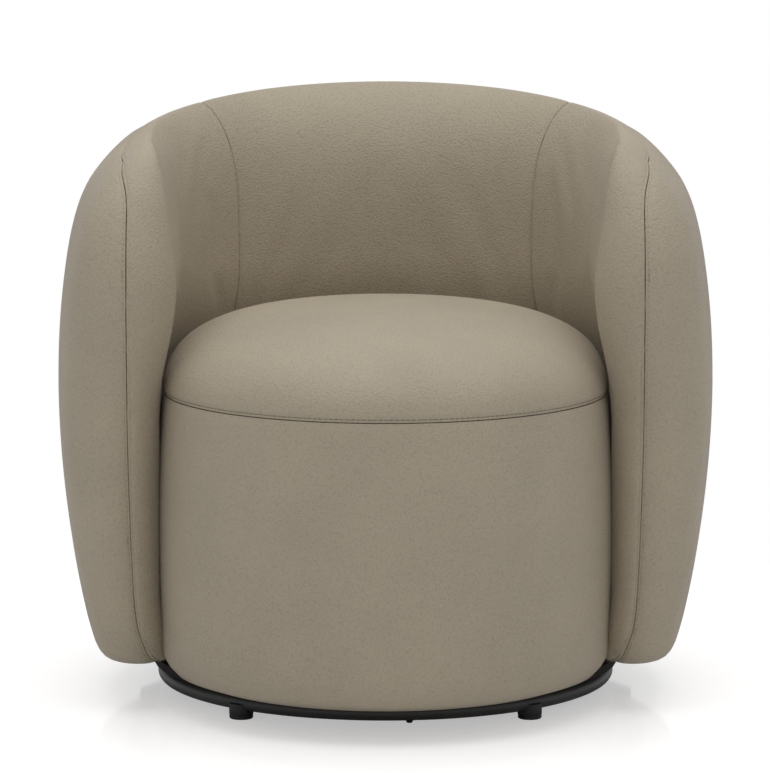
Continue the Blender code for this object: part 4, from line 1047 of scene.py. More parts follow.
@dataclass
class SeamPath:
    """A seam as a line on a form, with the directions across it and out of the leather."""

    points: np.ndarray
    across: np.ndarray
    normal: np.ndarray
    reach: float = 0.030
    tree: KDTree = field(init=False)

    def __post_init__(self) -> None:
        """Sort the points for the search of the nearest one."""
        self.tree = KDTree(len(self.points))
        for number, point in enumerate(self.points):
            self.tree.insert(point, number)
        self.tree.balance()

    @classmethod
    def on_form(cls, spot: Callable[..., np.ndarray], settings: np.ndarray, step: float = 0.0006,
                samples: int = 1600, least_slope: float = 0.012) -> "SeamPath":
        """Lay a seam smoothly through settings of a form.

        Args:
            spot: The form, as a function of one array for each setting.
            settings: Rows of the form's settings that the seam goes through.
            step: Change of a setting that measures the form's slope.
            samples: How many points the line gets.
            least_slope: Slope below which the setting before the last gives way to the first.

        Returns:
            The seam.
        """
        marks = length_table(spot(*settings.T))
        fine = np.linspace(0.0, marks[-1], samples)
        dense = np.stack([smooth_through(fine, marks, column) for column in settings.T])
        points = spot(*dense)
        along = np.gradient(points, axis=0)
        along /= np.linalg.norm(along, axis=1, keepdims=True)
        slopes = []
        for setting in (-1, -2, 0):
            shifted = dense.copy()
            shifted[setting] += step
            slopes.append((spot(*shifted) - points) / step)
        up, side, first = slopes
        side = np.where(np.linalg.norm(side, axis=1, keepdims=True) > least_slope, side, first)
        normal = np.cross(up, side)
        normal /= np.linalg.norm(normal, axis=1, keepdims=True)
        return cls(points, np.cross(along, normal), normal)

    def mirrored(self) -> "SeamPath":
        """The same seam on the other side of the chair."""
        flip = np.array([-1.0, 1.0, 1.0])
        return SeamPath(self.points * flip, self.across * flip, self.normal * flip)

    def joined(self, other: "SeamPath") -> "SeamPath":
        """Turn this seam round and carry it on by another.

        Args:
            other: The seam that starts where this one does.

        Returns:
            Both as one seam.
        """
        parts = [np.concatenate([getattr(self, name)[::-1], getattr(other, name)[1:]])
                 for name in ("points", "across", "normal")]
        return SeamPath(*parts)

    def signed(self, item: bpy.types.Object) -> np.ndarray:
        """Measure a mesh's points from the seam, positive where its cross direction points.

        Close to the seam the sign comes from the cross direction, and from there it spreads along the
        mesh's edges, so that it can't change far from the seam.

        Args:
            item: The mesh object.

        Returns:
            A signed distance for each vertex.
        """
        places = points_of(item)
        found, close = np.empty(len(places)), np.zeros(len(places), dtype=bool)
        for number, place in enumerate(places):
            _, nearest, distance = self.tree.find(place)
            close[number] = distance < self.reach
            found[number] = distance
            if close[number]:
                found[number] = float(np.dot(place - self.points[nearest], self.across[nearest]))
        ends = np.empty(len(item.data.edges) * 2, dtype=np.int64)
        item.data.edges.foreach_get("vertices", ends)
        ends = np.concatenate([ends.reshape(-1, 2), ends.reshape(-1, 2)[:, ::-1]])
        sign = np.where(close, np.sign(found), 0.0)
        while True:
            ready = ends[(sign[ends[:, 0]] != 0.0) & (sign[ends[:, 1]] == 0.0)]
            if not len(ready):
                break
            sign[ready[:, 1]] = sign[ready[:, 0]]
        return np.where(close, found, found * sign)

    def beside(self, distance: float, depth: float) -> np.ndarray:
        """Points of a line along the seam, at a distance across it and a depth below the form."""
        return self.points + self.across * distance - self.normal * depth


def smooth_through(fine: np.ndarray, marks: np.ndarray, values: np.ndarray) -> np.ndarray:
    """Interpolate with cubics that meet at each value with the mean slope of its neighbours.

    Args:
        fine: Where to interpolate.
        marks: Where the values lie.
        values: The values.

    Returns:
        The interpolated values.
    """
    slope = np.gradient(values, marks)
    left = np.clip(np.searchsorted(marks, fine, side="right") - 1, 0, len(marks) - 2)
    width = marks[left + 1] - marks[left]
    share = (fine - marks[left]) / width
    rest = 1.0 - share
    return (values[left] * (1 + 2 * share) * rest ** 2 + values[left + 1] * (3 - 2 * share) * share ** 2
            + width * share * rest * (slope[left] * rest - slope[left + 1] * share))


@dataclass(frozen=True)
class Padding:
    """How padding presses on the leather over it in a cloth run."""

    frames: int = 20
    quality: int = 4
    mass: float = 0.4
    stretching: float = 60.0
    shearing: float = 25.0
    bending: float = 12.0
    pressure: float = 4.0

    def press(self, sheet: bpy.types.Object, pins: str) -> np.ndarray:
        """Run the cloth and read where it ends.

        Args:
            sheet: The leather, which only gets the modifier.
            pins: The vertex group that holds its seams.

        Returns:
            The places of its vertices after the last frame.
        """
        scene = bpy.context.scene
        cloth = sheet.modifiers.new("cloth", "CLOTH")
        cloth.settings.vertex_group_mass = pins
        cloth.settings.quality = self.quality
        cloth.settings.mass = self.mass
        cloth.settings.tension_stiffness = self.stretching
        cloth.settings.compression_stiffness = self.stretching
        cloth.settings.shear_stiffness = self.shearing
        cloth.settings.bending_stiffness = self.bending
        cloth.settings.use_pressure = True
        cloth.settings.uniform_pressure_force = self.pressure
        cloth.settings.effector_weights.gravity = 0
        cloth.collision_settings.use_collision = False
        cloth.point_cache.frame_start = 1
        cloth.point_cache.frame_end = self.frames
        for moment in range(1, self.frames + 1):
            scene.frame_set(moment)
        seen = sheet.evaluated_get(bpy.context.evaluated_depsgraph_get())
        after = np.empty(len(sheet.data.vertices) * 3)
        seen.data.vertices.foreach_get("co", after)
        return after.reshape(-1, 3)


@dataclass
class Panel:
    """A panel of leather over its padding, cut from a form along its seams."""

    name: str
    nodes: tuple[str, ...]
    seams: list[tuple[np.ndarray, bool]]
    start_below: float = 0.0012
    swell: float = 0.0026
    thickness: float = 0.0012
    fill: float = 0.9

    def build(self, blank: bpy.types.Object, leather: bpy.types.Material) -> bpy.types.Object:
        """Cut, settle, sew and dress the panel.

        Args:
            blank: The whole form as one fine mesh, which is left as it is.
            leather: The material that covers the panel.

        Returns:
            The finished piece.
        """
        item = copy_of(blank, self.name)
        self.cut(item)
        count = len(item.data.vertices)
        distances = [read_layer(item, f"seam_{number}") for number in range(len(self.seams))]
        nearest = np.min(distances, axis=0)
        normal = vertex_normals(item)
        set_points(item, points_of(item) - normal * self.start_below)
        self.settle(item, nearest)
        sunk = np.zeros(count)
        for distance, (_, stitched) in zip(distances, self.seams):
            sunk = np.maximum(sunk, SEWING.depth(distance, stitched))
        set_points(item, points_of(item) - normal * sunk[:, None])
        self.turn_edges(item, nearest)
        for number in range(len(self.seams)):
            item.data.attributes.remove(item.data.attributes[f"seam_{number}"])
        make_active(item)
        bpy.ops.object.shade_smooth()
        sheet = item.modifiers.new("leather", "SOLIDIFY")
        sheet.thickness = self.thickness
        sheet.offset = -1.0
        apply_modifiers(item)
        dress(item, leather)
        hand_over(item, Body.CHAIR, LEATHER_SLOT, *self.nodes)
        return item

    def cut(self, item: bpy.types.Object) -> None:
        """Cut edge loops along every seam and drop what lies beyond the first of each.

        Args:
            item: The copy of the form that becomes the panel.
        """
        mesh = bmesh.new()
        mesh.from_mesh(item.data)
        layers = []
        for number, (distance, _) in enumerate(self.seams):
            layer = mesh.verts.layers.float.new(f"seam_{number}")
            for vertex, value in zip(mesh.verts, distance):
                vertex[layer] = value
            layers.append(layer)
        for layer in layers:
            for level in SEWING.levels():
                split_at(mesh, layer, level)
            beyond = [face for face in mesh.faces
                      if sum(vertex[layer] for vertex in face.verts) / len(face.verts) < SEWING.half_gap]
            bmesh.ops.delete(mesh, geom=beyond, context="FACES")
        mesh.to_mesh(item.data)
        mesh.free()

    def turn_edges(self, item: bpy.types.Object, nearest: np.ndarray) -> None:
        """Turn the sewn edges in, as a strip that goes down into the padding.

        Args:
            item: The cut panel.
            nearest: Distance of each point from its nearest seam.
        """
        mesh = bmesh.new()
        mesh.from_mesh(item.data)
        mesh.verts.ensure_lookup_table()
        limit = SEWING.half_gap + SEWING.fold_radius * SEWING.rim_share
        rim = [edge for edge in mesh.edges if edge.is_boundary
               and all(nearest[vertex.index] < limit for vertex in edge.verts)]
        for _ in range(SEWING.turn_rows):
            made = bmesh.ops.extrude_edge_only(mesh, edges=rim)["geom"]
            rim = [part for part in made if isinstance(part, bmesh.types.BMEdge)]
            for vertex in [part for part in made if isinstance(part, bmesh.types.BMVert)]:
                inward = Vector((0.0, 0.0, 0.0))
                for edge in vertex.link_edges:
                    inward += edge.other_vert(vertex).normal
                vertex.co -= inward.normalized() * (SEWING.turn_in / SEWING.turn_rows)
        mesh.to_mesh(item.data)
        mesh.free()

    def settle(self, item: bpy.types.Object, nearest: np.ndarray) -> None:
        """Let the padding press the leather out between its pinned seams.

        Args:
            item: The cut panel; its points move by no more than the panel's swell.
            nearest: Distance of each point from its nearest seam.
        """
        before = points_of(item)
        trial = copy_of(item, f"{self.name}_trial")
        group = trial.vertex_groups.new(name="seams")
        pinned = 1.0 - np.clip((nearest - SEWING.pinned) / SEWING.eased, 0.0, 1.0)
        for number, weight in enumerate(pinned):
            if weight > 0.0:
                group.add([number], float(weight), "REPLACE")
        moved = Padding().press(trial, group.name) - before
        size = np.linalg.norm(moved, axis=1, keepdims=True)
        LOG.info("%s swelled by up to %.1f mm, half of it by %.1f mm", self.name,
                 1000 * float(size.max()), 1000 * float(np.median(size)))
        capped = self.swell * np.tanh(size / self.swell)
        set_points(item, before + moved * capped / np.maximum(size, WELD))
        bpy.data.objects.remove(trial)
        bpy.context.scene.frame_set(1)


def split_at(mesh: bmesh.types.BMesh, layer: object, level: float) -> None:
    """Cut faces along the line where a kept distance has a given value.

    Args:
        mesh: The mesh to cut.
        layer: The layer that holds the distances.
        level: The distance to cut at.
    """
    snap = SEWING.half_gap * SEWING.snap_share
    for edge in list(mesh.edges):
        first, second = edge.verts
        low, high = first[layer] - level, second[layer] - level
        if low * high < 0.0 and min(abs(low), abs(high)) > snap:
            _, vertex = bmesh.utils.edge_split(edge, first, low / (low - high))
            vertex[layer] = level
    for face in list(mesh.faces):
        values = [vertex[layer] - level for vertex in face.verts]
        if min(values) < -snap and max(values) > snap:
            on_line = [vertex for vertex, value in zip(face.verts, values) if abs(value) <= snap]
            if len(on_line) == 2 and not any(edge.other_vert(on_line[0]) is on_line[1]
                                             for edge in on_line[0].link_edges):
                bmesh.utils.face_split(face, on_line[0], on_line[1])


def read_layer(item: bpy.types.Object, name: str) -> np.ndarray:
    """Read a kept layer of a mesh.

    Args:
        item: The mesh object.
        name: The layer's name.

    Returns:
        One value for each vertex.
    """
    values = np.empty(len(item.data.vertices))
    item.data.attributes[name].data.foreach_get("value", values)
    return values


def vertex_normals(item: bpy.types.Object) -> np.ndarray:
    """Read the vertex normals of a mesh.

    Args:
        item: The mesh object.

    Returns:
        One row for each vertex.
    """
    values = np.empty(len(item.data.vertices) * 3)
    item.data.vertex_normals.foreach_get("vector", values)
    return values.reshape(-1, 3)


def blank_mesh(name: str, place: Place, runs: np.ndarray, rises: np.ndarray) -> bpy.types.Object:
    """Make a whole form as one mesh of even cells, welded where it meets itself.

    Args:
        name: The object's name.
        place: The form.
        runs: Columns round the form.
        rises: Rows over it.

    Returns:
        The mesh object, with its faces turned outward.
    """
    bpy.ops.mesh.primitive_grid_add(x_subdivisions=len(runs) - 1, y_subdivisions=len(rises) - 1, size=1.0)
    item = bpy.context.object
    item.name = name
    grid = points_of(item)
    column = np.rint((grid[:, 0] + 0.5) * (len(runs) - 1)).astype(int)
    row = np.rint((grid[:, 1] + 0.5) * (len(rises) - 1)).astype(int)
    set_points(item, place(runs[column], rises[row]))
    edit_whole(item, weld, bpy.ops.mesh.flip_normals)
    return item


def topstitch_depth() -> float:
    """How deep below its form a topstitch lies, in the groove that it draws into the leather."""
    groove = float(SEWING.depth(np.array([SEWING.stitch_set]), True)[0])
    return Panel.start_below + groove - Thread.proud


@dataclass(frozen=True)
class Thread:
    """A row of stitches laid beside a seam."""

    name: str
    path: np.ndarray
    proud: float = 0.00014
    stitch: float = 0.0052
    space: float = 0.0012
    radius: float = 0.00034
    marks: tuple[float, ...] = (0.0, 0.25, 0.75, 1.0)
    widths: tuple[float, ...] = (0.45, 1.0, 1.0, 0.45)

    def build(self, thread: bpy.types.Material) -> bpy.types.Object:
        """Lay the stitches.

        Args:
            thread: The material of the thread.

        Returns:
            The finished row, as one piece.
        """
        lengths = length_table(self.path)
        pitch = self.stitch + self.space
        curve = bpy.data.curves.new(self.name, "CURVE")
        curve.dimensions = "3D"
        curve.bevel_depth = self.radius
        curve.bevel_resolution = 1
        curve.use_fill_caps = True
        for number in range(int(lengths[-1] / pitch)):
            start = (number + 0.5) * pitch
            spots = start + self.stitch * np.array(self.marks)
            points = np.stack([np.interp(spots, lengths, column) for column in self.path.T], axis=1)
            spline = curve.splines.new("POLY")
            spline.points.add(len(points) - 1)
            for point, place, size in zip(spline.points, points, self.widths):
                point.co = (*place, 1.0)
                point.radius = size
        item = bpy.data.objects.new(self.name, curve)
        bpy.context.scene.collection.objects.link(item)
        make_active(item)
        bpy.ops.object.convert(target="MESH")
        item = bpy.context.object
        return complete(item, SOFT_EDGE, thread, Body.CHAIR, LEATHER_SLOT)


@dataclass
class ShellUpholstery:
    """Leather of the arms and the back: one panel outside and three inside."""

    form: ShellForm
    cell: float = 0.0085
    hem: float = 0.012
    inside_swell: float = 0.0014
    rim_share: float = 0.9885
    nose_seam_x: tuple[float, ...] = (0.278, 0.284, 0.293, 0.297, 0.300, 0.302, 0.303, 0.304, 0.304,
                                      0.306, 0.313)
    nose_seam_z: tuple[float, ...] = (0.045, 0.069, 0.098, 0.136, 0.218, 0.299, 0.361, 0.564, 0.621,
                                      0.639, 0.661)
    rim_turns: tuple[float, ...] = (100.1, 94.0, 89.7, 84.4, 76.0, 60.0, 45.0, 30.0, 15.0, 0.0)
    rim_shares: tuple[float, ...] = (0.9722, 0.9775, 0.9815, 0.9860, 0.9880, 0.9885, 0.9885, 0.9885,
                                     0.9885, 0.9885)
    inside_turns: tuple[float, ...] = (48.6, 47.4, 46.0, 44.8, 44.4, 44.6, 44.6)
    inside_shares: tuple[float, ...] = (1.0, 0.985, 0.95, 0.88, 0.75, 0.5, 0.0)
    nose_columns: int = 18
    nose_straight_to: float = 0.62
    nose_straight_rows: int = 40
    nose_bend: tuple[float, float] = (0.628, 0.661)
    nose_bend_rows: int = 6
    widest_swing: float = 135.0
    halvings: int = 24
    lead_turn: float = 0.5
    lead_share: float = 0.004
    behind: tuple[float, float, float] = (0.0, 0.5, 0.4)
    inside: tuple[float, float, float] = (0.0, 0.27, 0.5)
    parts: list[bpy.types.Object] = field(default_factory=list)

    def stitched_side(self, seam: SeamPath) -> float:
        """Signed distance of the rim's topstitch, on the inner side of the seam."""
        middle = len(seam.points) // 2
        return -math.copysign(SEWING.stitch_set, seam.across[middle][1])

    def front_seam(self) -> SeamPath:
        """Lay the seam up one nose and back round the rim to the centre of the back.

        Returns:
            The seam on the +X side.
        """
        form = self.form
        heights = np.concatenate([np.linspace(form.bottom, self.nose_straight_to, self.nose_straight_rows),
                                  np.linspace(*self.nose_bend, self.nose_bend_rows)])
        turn = np.full_like(heights, form.nose_turn)
        share = (heights - form.bottom) / (form.side_crest - form.bottom)
        target = np.interp(heights, self.nose_seam_z, self.nose_seam_x)
        low, high = np.zeros_like(heights), np.full_like(heights, math.radians(self.widest_swing))
        for _ in range(self.halvings):
            middle = (low + high) / 2
            outside = form.spot(turn, middle, share)[:, 0] > target
            low, high = np.where(outside, middle, low), np.where(outside, high, middle)
        nose = np.stack([turn, (low + high) / 2, share], axis=1)
        rim = np.stack([np.radians(self.rim_turns), np.zeros(len(self.rim_turns)),
                        np.array(self.rim_shares)], axis=1)
        return SeamPath.on_form(form.spot, np.concatenate([nose, rim]))

    def inside_seam(self) -> SeamPath:
        """Lay the seam between one inside arm and the inside back, from the rim down.

        Returns:
            The seam on the +X side.
        """
        form = self.form
        turns = (self.inside_turns[0] + self.lead_turn, *self.inside_turns)
        rises = [form.rise_outside(self.rim_share - self.lead_share),
                 *map(form.rise_inside, self.inside_shares)]
        runs = [form.run_at(math.radians(turn)) for turn in turns]
        return SeamPath.on_form(form.place, np.stack([runs, rises], axis=1))

    def build(self, leather: bpy.types.Material, thread: bpy.types.Material) -> None:
        """Cut and sew the four panels.

        Args:
            leather: The leather.
            thread: The sewing thread.
        """
        form = self.form
        wall = np.linspace(0.0, form.nose_run, math.ceil(form.nose_run / self.cell) + 1)
        nose = np.linspace(form.nose_run, form.tip_run, self.nose_columns)[1:]
        half = np.concatenate([wall, nose])
        runs = np.concatenate([-half[::-1], half[1:]])
        blank = blank_mesh("shell_blank", form.place, runs, form.rises(self.cell, self.hem))
        places = points_of(blank)
        right = self.front_seam()
        front = right.mirrored().joined(right)
        outside = oriented(front.signed(blank), places, self.behind)
        inside = self.inside_seam()
        back_right = oriented(inside.signed(blank), places, self.inside)
        back_left = oriented(inside.mirrored().signed(blank), places, self.inside)
        self.parts.append(Panel("outside_panel", ("outside_cover", "outer_padding"),
                                [(outside, False)]).build(blank, leather))
        self.parts.append(Panel("inside_back_panel", ("inside_back_cover", "inside_back_foam", "rim_roll"),
                                [(-outside, True), (back_right, False), (back_left, False)],
                                swell=self.inside_swell).build(blank, leather))
        stitches = front.beside(self.stitched_side(front), topstitch_depth())
        self.parts.append(Thread("rim_topstitch", stitches).build(thread))
        for name, way, side in (("left", -1.0, back_left), ("right", 1.0, back_right)):
            own = np.where(places[:, 0] * way > 0.0, -side, -1.0)
            self.parts.append(Panel(f"inside_arm_panel_{name}",
                                    (f"inside_arm_cover_{name}", f"inside_arm_foam_{name}"),
                                    [(-outside, True), (own, False)],
                                    swell=self.inside_swell).build(blank, leather))
        bpy.data.objects.remove(blank)


def oriented(distance: np.ndarray, places: np.ndarray, sample: Sequence[float]) -> np.ndarray:
    """Turn signed distances so that the place nearest a sample has a positive one.

    Args:
        distance: The distances.
        places: Where they were measured.
        sample: A point on the positive side.

    Returns:
        The distances, all with their signs kept or all with them changed.
    """
    nearest = int(np.argmin(np.linalg.norm(places - np.array(sample), axis=1)))
    return distance * math.copysign(1.0, distance[nearest])


@dataclass
class DrumUpholstery:
    """Leather of the drum seat: one panel round its side and one over its crowned top."""

    form: DrumForm
    cell: float = 0.0085
    hem: float = 0.012
    top_stretch: float = 1.3
    stitch_samples: int = 1600
    parts: list[bpy.types.Object] = field(default_factory=list)

    def topstitch(self) -> np.ndarray:
        """Lay the topstitch on the crowned top, beside its seam.

        Returns:
            The points of its line.
        """
        run = np.linspace(0.0, 2 * self.form.half_run, self.stitch_samples)
        rise = np.full_like(run, SEWING.stitch_set)
        line = self.form.place_top(run, rise)
        up = self.form.place_top(run, rise + SEWING.stitch_width) - line
        normal = np.cross(up, np.gradient(line, axis=0))
        normal /= np.linalg.norm(normal, axis=1, keepdims=True)
        return line - normal * topstitch_depth()

    def build(self, leather: bpy.types.Material, thread: bpy.types.Material) -> None:
        """Cut and sew the two panels.

        Args:
            leather: The leather.
            thread: The sewing thread.
        """
        form = self.form
        lap = 2 * form.half_run
        runs = np.linspace(0.0, lap, math.ceil(lap / self.cell) + 1)
        rows = math.ceil(form.side_rise / self.cell) + 1
        rises = np.concatenate([np.linspace(-self.hem, 0.0, TUCK_ROWS)[:-1],
                                np.linspace(0.0, form.side_rise, rows)])
        side = blank_mesh("drum_blank", form.place_side, runs, rises)
        below = form.seam - points_of(side)[:, 2]
        self.parts.append(Panel("drum_panel", ("drum_cover", "drum_padding"),
                                [(below, False)]).build(side, leather))
        bpy.data.objects.remove(side)
        runs = np.linspace(0.0, lap, math.ceil(lap / (self.cell * self.top_stretch)) + 1)
        rises = np.linspace(0.0, form.top_rise, math.ceil(form.top_rise / self.cell) + 1)
        top = blank_mesh("seat_blank", form.place_top, runs, rises)
        places = points_of(top)
        share = form.share_at(places)
        inward = form.top_rise - np.interp(share, form.tops[::-1], form.from_centre())
        self.parts.append(Panel("seat_panel", ("seat_cover", "seat_foam"),
                                [(inward, True)]).build(top, leather))
        bpy.data.objects.remove(top)
        self.parts.append(Thread("seat_topstitch", self.topstitch()).build(thread))


# Hard parts

def turned(name: str, profile: Sequence[tuple[float, float]], steps: int,
           centre: Vector) -> bpy.types.Object:
    """Turn a profile round a vertical axis into a closed solid.

    Args:
        name: The object's name.
        profile: Radii and heights, from the axis at the bottom round to the axis again.
        steps: How many sides the solid gets.
        centre: Where the axis stands and the heights start.

    Returns:
        The solid, with its faces turned outward.
    """
    radii, heights = np.array(profile).T
    marks = np.arange(len(profile), dtype=float)

    def place(run: np.ndarray, rise: np.ndarray) -> np.ndarray:
        """Find places on the solid.

        Args:
            run: Angles round the axis.
            rise: Positions along the profile, counted in its points.

        Returns:
            One place for each pair of the two.
        """
        radius = np.interp(rise, marks, radii)
        return np.stack([centre.x + radius * np.cos(run), centre.y + radius * np.sin(run),
                         centre.z + np.interp(rise, marks, heights)], axis=-1)

    item = blank_mesh(name, place, np.linspace(0.0, 2 * math.pi, steps + 1), marks)
    face_outward(item)
    return item


def face_outward(item: bpy.types.Object) -> None:
    """Turn all faces of a closed mesh outward."""
    edit_whole(item, bpy.ops.mesh.normals_make_consistent)


def middle_of(node: str) -> Vector:
    """Centre of a CAD node's box, at the height of its bottom."""
    low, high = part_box(node)
    return Vector(((low.x + high.x) / 2, (low.y + high.y) / 2, low.z))


@dataclass
class RingBase:
    """The ring of round tube, its four glides and the screw that closes its joint."""

    tube_radius: float = 0.0095
    ring_segments: int = 288
    tube_segments: int = 40
    joint_groove: float = 0.00035
    joint_width: float = 0.0007
    joint_shift: float = 12.0
    joint_beside: tuple[float, ...] = (0.0, 0.0004, 0.0008, 0.0013, 0.0024)
    saddle_gap: float = 0.0001
    glide_steps: int = 64
    glide_edge: float = 0.0003
    glide_profile: tuple[tuple[float, float], ...] = (
        (0.0, 0.0006), (0.0100, 0.0006), (0.0104, 0.0), (0.0129, 0.0), (0.0138, 0.0005), (0.0142, 0.0014),
        (0.0142, 0.0036), (0.0135, 0.0040), (0.0135, 0.0047), (0.0145, 0.0053), (0.0145, 0.0120),
        (0.0145, 0.0178), (0.0141, 0.0187), (0.0134, 0.0190), (0.0, 0.0190))
    screw_steps: int = 32
    screw_profile: tuple[tuple[float, float], ...] = (
        (0.0, 0.0014), (0.0019, 0.0014), (0.0021, 0.0003), (0.0024, 0.0), (0.0031, 0.0002),
        (0.0037, 0.0009), (0.0040, 0.0018), (0.0040, 0.0028), (0.0037, 0.0031), (0.0021, 0.0032),
        (0.0021, 0.0086), (0.0018, 0.0088), (0.0, 0.0088))
    parts: list[bpy.types.Object] = field(default_factory=list)

    def ring_blank(self, name: str, spread: float, grooved: bool) -> bpy.types.Object:
        """Sweep the tube round the ring.

        Args:
            name: The object's name.
            spread: How much wider than the tube the sweep is.
            grooved: True to leave the fine line where the tube's two ends meet.

        Returns:
            The closed sweep.
        """
        low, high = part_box("base_ring")
        sweep = (high.x - low.x) / 2 - self.tube_radius
        centre = Vector(((low.x + high.x) / 2, (low.y + high.y) / 2, high.z - self.tube_radius))
        screw = middle_of("ring_joint_screw")
        joint = (math.atan2(screw.y - centre.y, screw.x - centre.x)
                 + self.joint_width * self.joint_shift / sweep)
        near = np.array(self.joint_beside) / sweep
        lap = 2 * math.pi
        runs = np.concatenate([near, np.linspace(near[-1], lap - near[-1], self.ring_segments)[1:-1],
                               lap - near[::-1]])

        def place(run: np.ndarray, rise: np.ndarray) -> np.ndarray:
            """Find places on the tube.

            Args:
                run: Angles round the ring, counted from the joint.
                rise: Angles round the tube, counted from its outer side upward.

            Returns:
                One place for each pair of the two.
            """
            away = np.minimum(run, lap - run) * sweep
            groove = self.joint_groove * np.exp(-(away / self.joint_width) ** 2) if grooved else 0.0
            radius = self.tube_radius + spread - groove
            reach = sweep + radius * np.cos(rise)
            return np.stack([centre.x + reach * np.cos(run + joint), centre.y + reach * np.sin(run + joint),
                             centre.z + radius * np.sin(rise)], axis=-1)

        item = blank_mesh(name, place, runs, np.linspace(0.0, lap, self.tube_segments + 1))
        face_outward(item)
        return item

    def build_ring(self, coat: bpy.types.Material) -> None:
        """Bend the tube to a ring, with a fine line where its ends meet.

        Args:
            coat: The ring's material.
        """
        ring = self.ring_blank("ring_tube", 0.0, True)
        self.parts.append(complete(ring, SOFT_EDGE, coat, Body.BASE, node_slots()["base_ring"],
                                   "base_ring"))

    def build_glide(self, node: str, plastic: bpy.types.Material) -> None:
        """Turn one glide and cut the saddle in which the tube lies.

        Args:
            node: The CAD node that it replaces.
            plastic: The glide's material.
        """
        glide = turned(f"{node}_detail", self.glide_profile, self.glide_steps, middle_of(node))
        cutter = self.ring_blank("saddle_cutter", self.saddle_gap, False)
        cut = glide.modifiers.new("saddle", "BOOLEAN")
        cut.operation = "DIFFERENCE"
        cut.solver = "EXACT"
        cut.object = cutter
        apply_modifiers(glide)
        bpy.data.objects.remove(cutter)
        edge = glide.modifiers.new("edge", "BEVEL")
        edge.width = self.glide_edge
        edge.segments = 2
        edge.limit_method = "ANGLE"
        apply_modifiers(glide)
        self.parts.append(complete(glide, CRISP_EDGE, plastic, Body.BASE, node_slots()[node], node))

    def build_screw(self, finish: bpy.types.Material) -> None:
        """Turn the screw with its hollow drive.

        Args:
            finish: The screw's material.
        """
        node = "ring_joint_screw"
        screw = turned("joint_screw_detail", self.screw_profile, self.screw_steps, middle_of(node))
        self.parts.append(complete(screw, CRISP_EDGE, finish, Body.BASE, node_slots()[node], node))

    def build(self) -> None:
        """Build every part."""
        self.build_ring(POWDER_COAT.material())
        plastic = GLIDE_PLASTIC.material()
        for spot in ("front_left", "front_right", "rear_left", "rear_right"):
            self.build_glide(f"foot_glide_{spot}", plastic)
        self.build_screw(BLACK_SCREW.material())


@dataclass
class ShellFrame:
    """Bent boards of the shell's frame that lie close behind its leather."""

    form: ShellForm
    cover: float = 0.0034
    board: float = 0.0030
    rail_cover: float = 0.0068
    lowest: float = 0.0800
    cuts: int = 3
    samples: int = 1500
    parts: list[bpy.types.Object] = field(default_factory=list)

    def fit(self, node: str, cover: float, lowest: float, wood: bpy.types.Material) -> None:
        """Copy a board of the model and draw it in where the leather would lie closer than its cover.

        Args:
            node: The CAD node that it replaces.
            cover: Least depth of the board below the form.
            lowest: Height to which its bottom edge is cut back.
            wood: The board's material.
        """
        item = copy_of(frame["nodes"][node], f"{node}_bent")
        edit_whole(item, weld, lambda: bpy.ops.mesh.subdivide(number_cuts=self.cuts))
        places = points_of(item)
        places[:, 2] = np.maximum(places[:, 2], lowest)
        turns = np.linspace(0.0, self.form.nose_turn, self.samples)
        x, y, out_x, out_y = self.form.wall_line(turns)
        apart = (np.abs(places[:, :1]) - x) ** 2 + (places[:, 1:2] - y) ** 2
        nearest = apart.argmin(axis=1)
        way = np.stack([out_x[nearest] * np.sign(places[:, 0]), out_y[nearest]], axis=1)
        line = np.stack([x[nearest] * np.sign(places[:, 0]), y[nearest]], axis=1)
        offset = ((places[:, :2] - line) * way).sum(axis=1)
        behind = np.clip(offset.max() - offset, 0.0, self.board)
        limit = self.form.outer_face(turns[nearest], places[:, 2]) - cover - behind
        places[:, :2] -= way * np.maximum(offset - limit, 0.0)[:, None]
        set_points(item, places)
        self.parts.append(complete(item, CRISP_EDGE, wood, Body.CHAIR, node_slots()[node], node))

    def build(self) -> None:
        """Fit both boards."""
        finishes = {finish.name: finish for finish in (PLYWOOD, HARDBOARD)}
        for node, cover, lowest in (("outer_board", self.cover, self.lowest),
                                    ("shell_bottom_rail", self.rail_cover, 0.0)):
            self.fit(node, cover, lowest, finishes[node_slots()[node]].material())


@dataclass
class CarriedParts:
    """CAD nodes that are shown as they are, each with its finish."""

    finishes: dict[str, Speckled]

    def dress_all(self) -> None:
        """Give each shown node its material."""
        made: dict[str, bpy.types.Material] = {}
        webbing = WovenWebbing().material()
        for node, slot in sorted(node_slots().items()):
            item = frame["nodes"][node]
            if slot == WEBBING_SLOT:
                dress(item, webbing)
            elif slot in self.finishes:
                if slot not in made:
                    made[slot] = self.finishes[slot].material()
                dress(item, made[slot])


def node_slots() -> dict[str, str]:
    """Material slot of each CAD node, from the record."""
    return {part["node"]: part["material_slot"] for part in frame["record"]["subparts"]}


# Stage

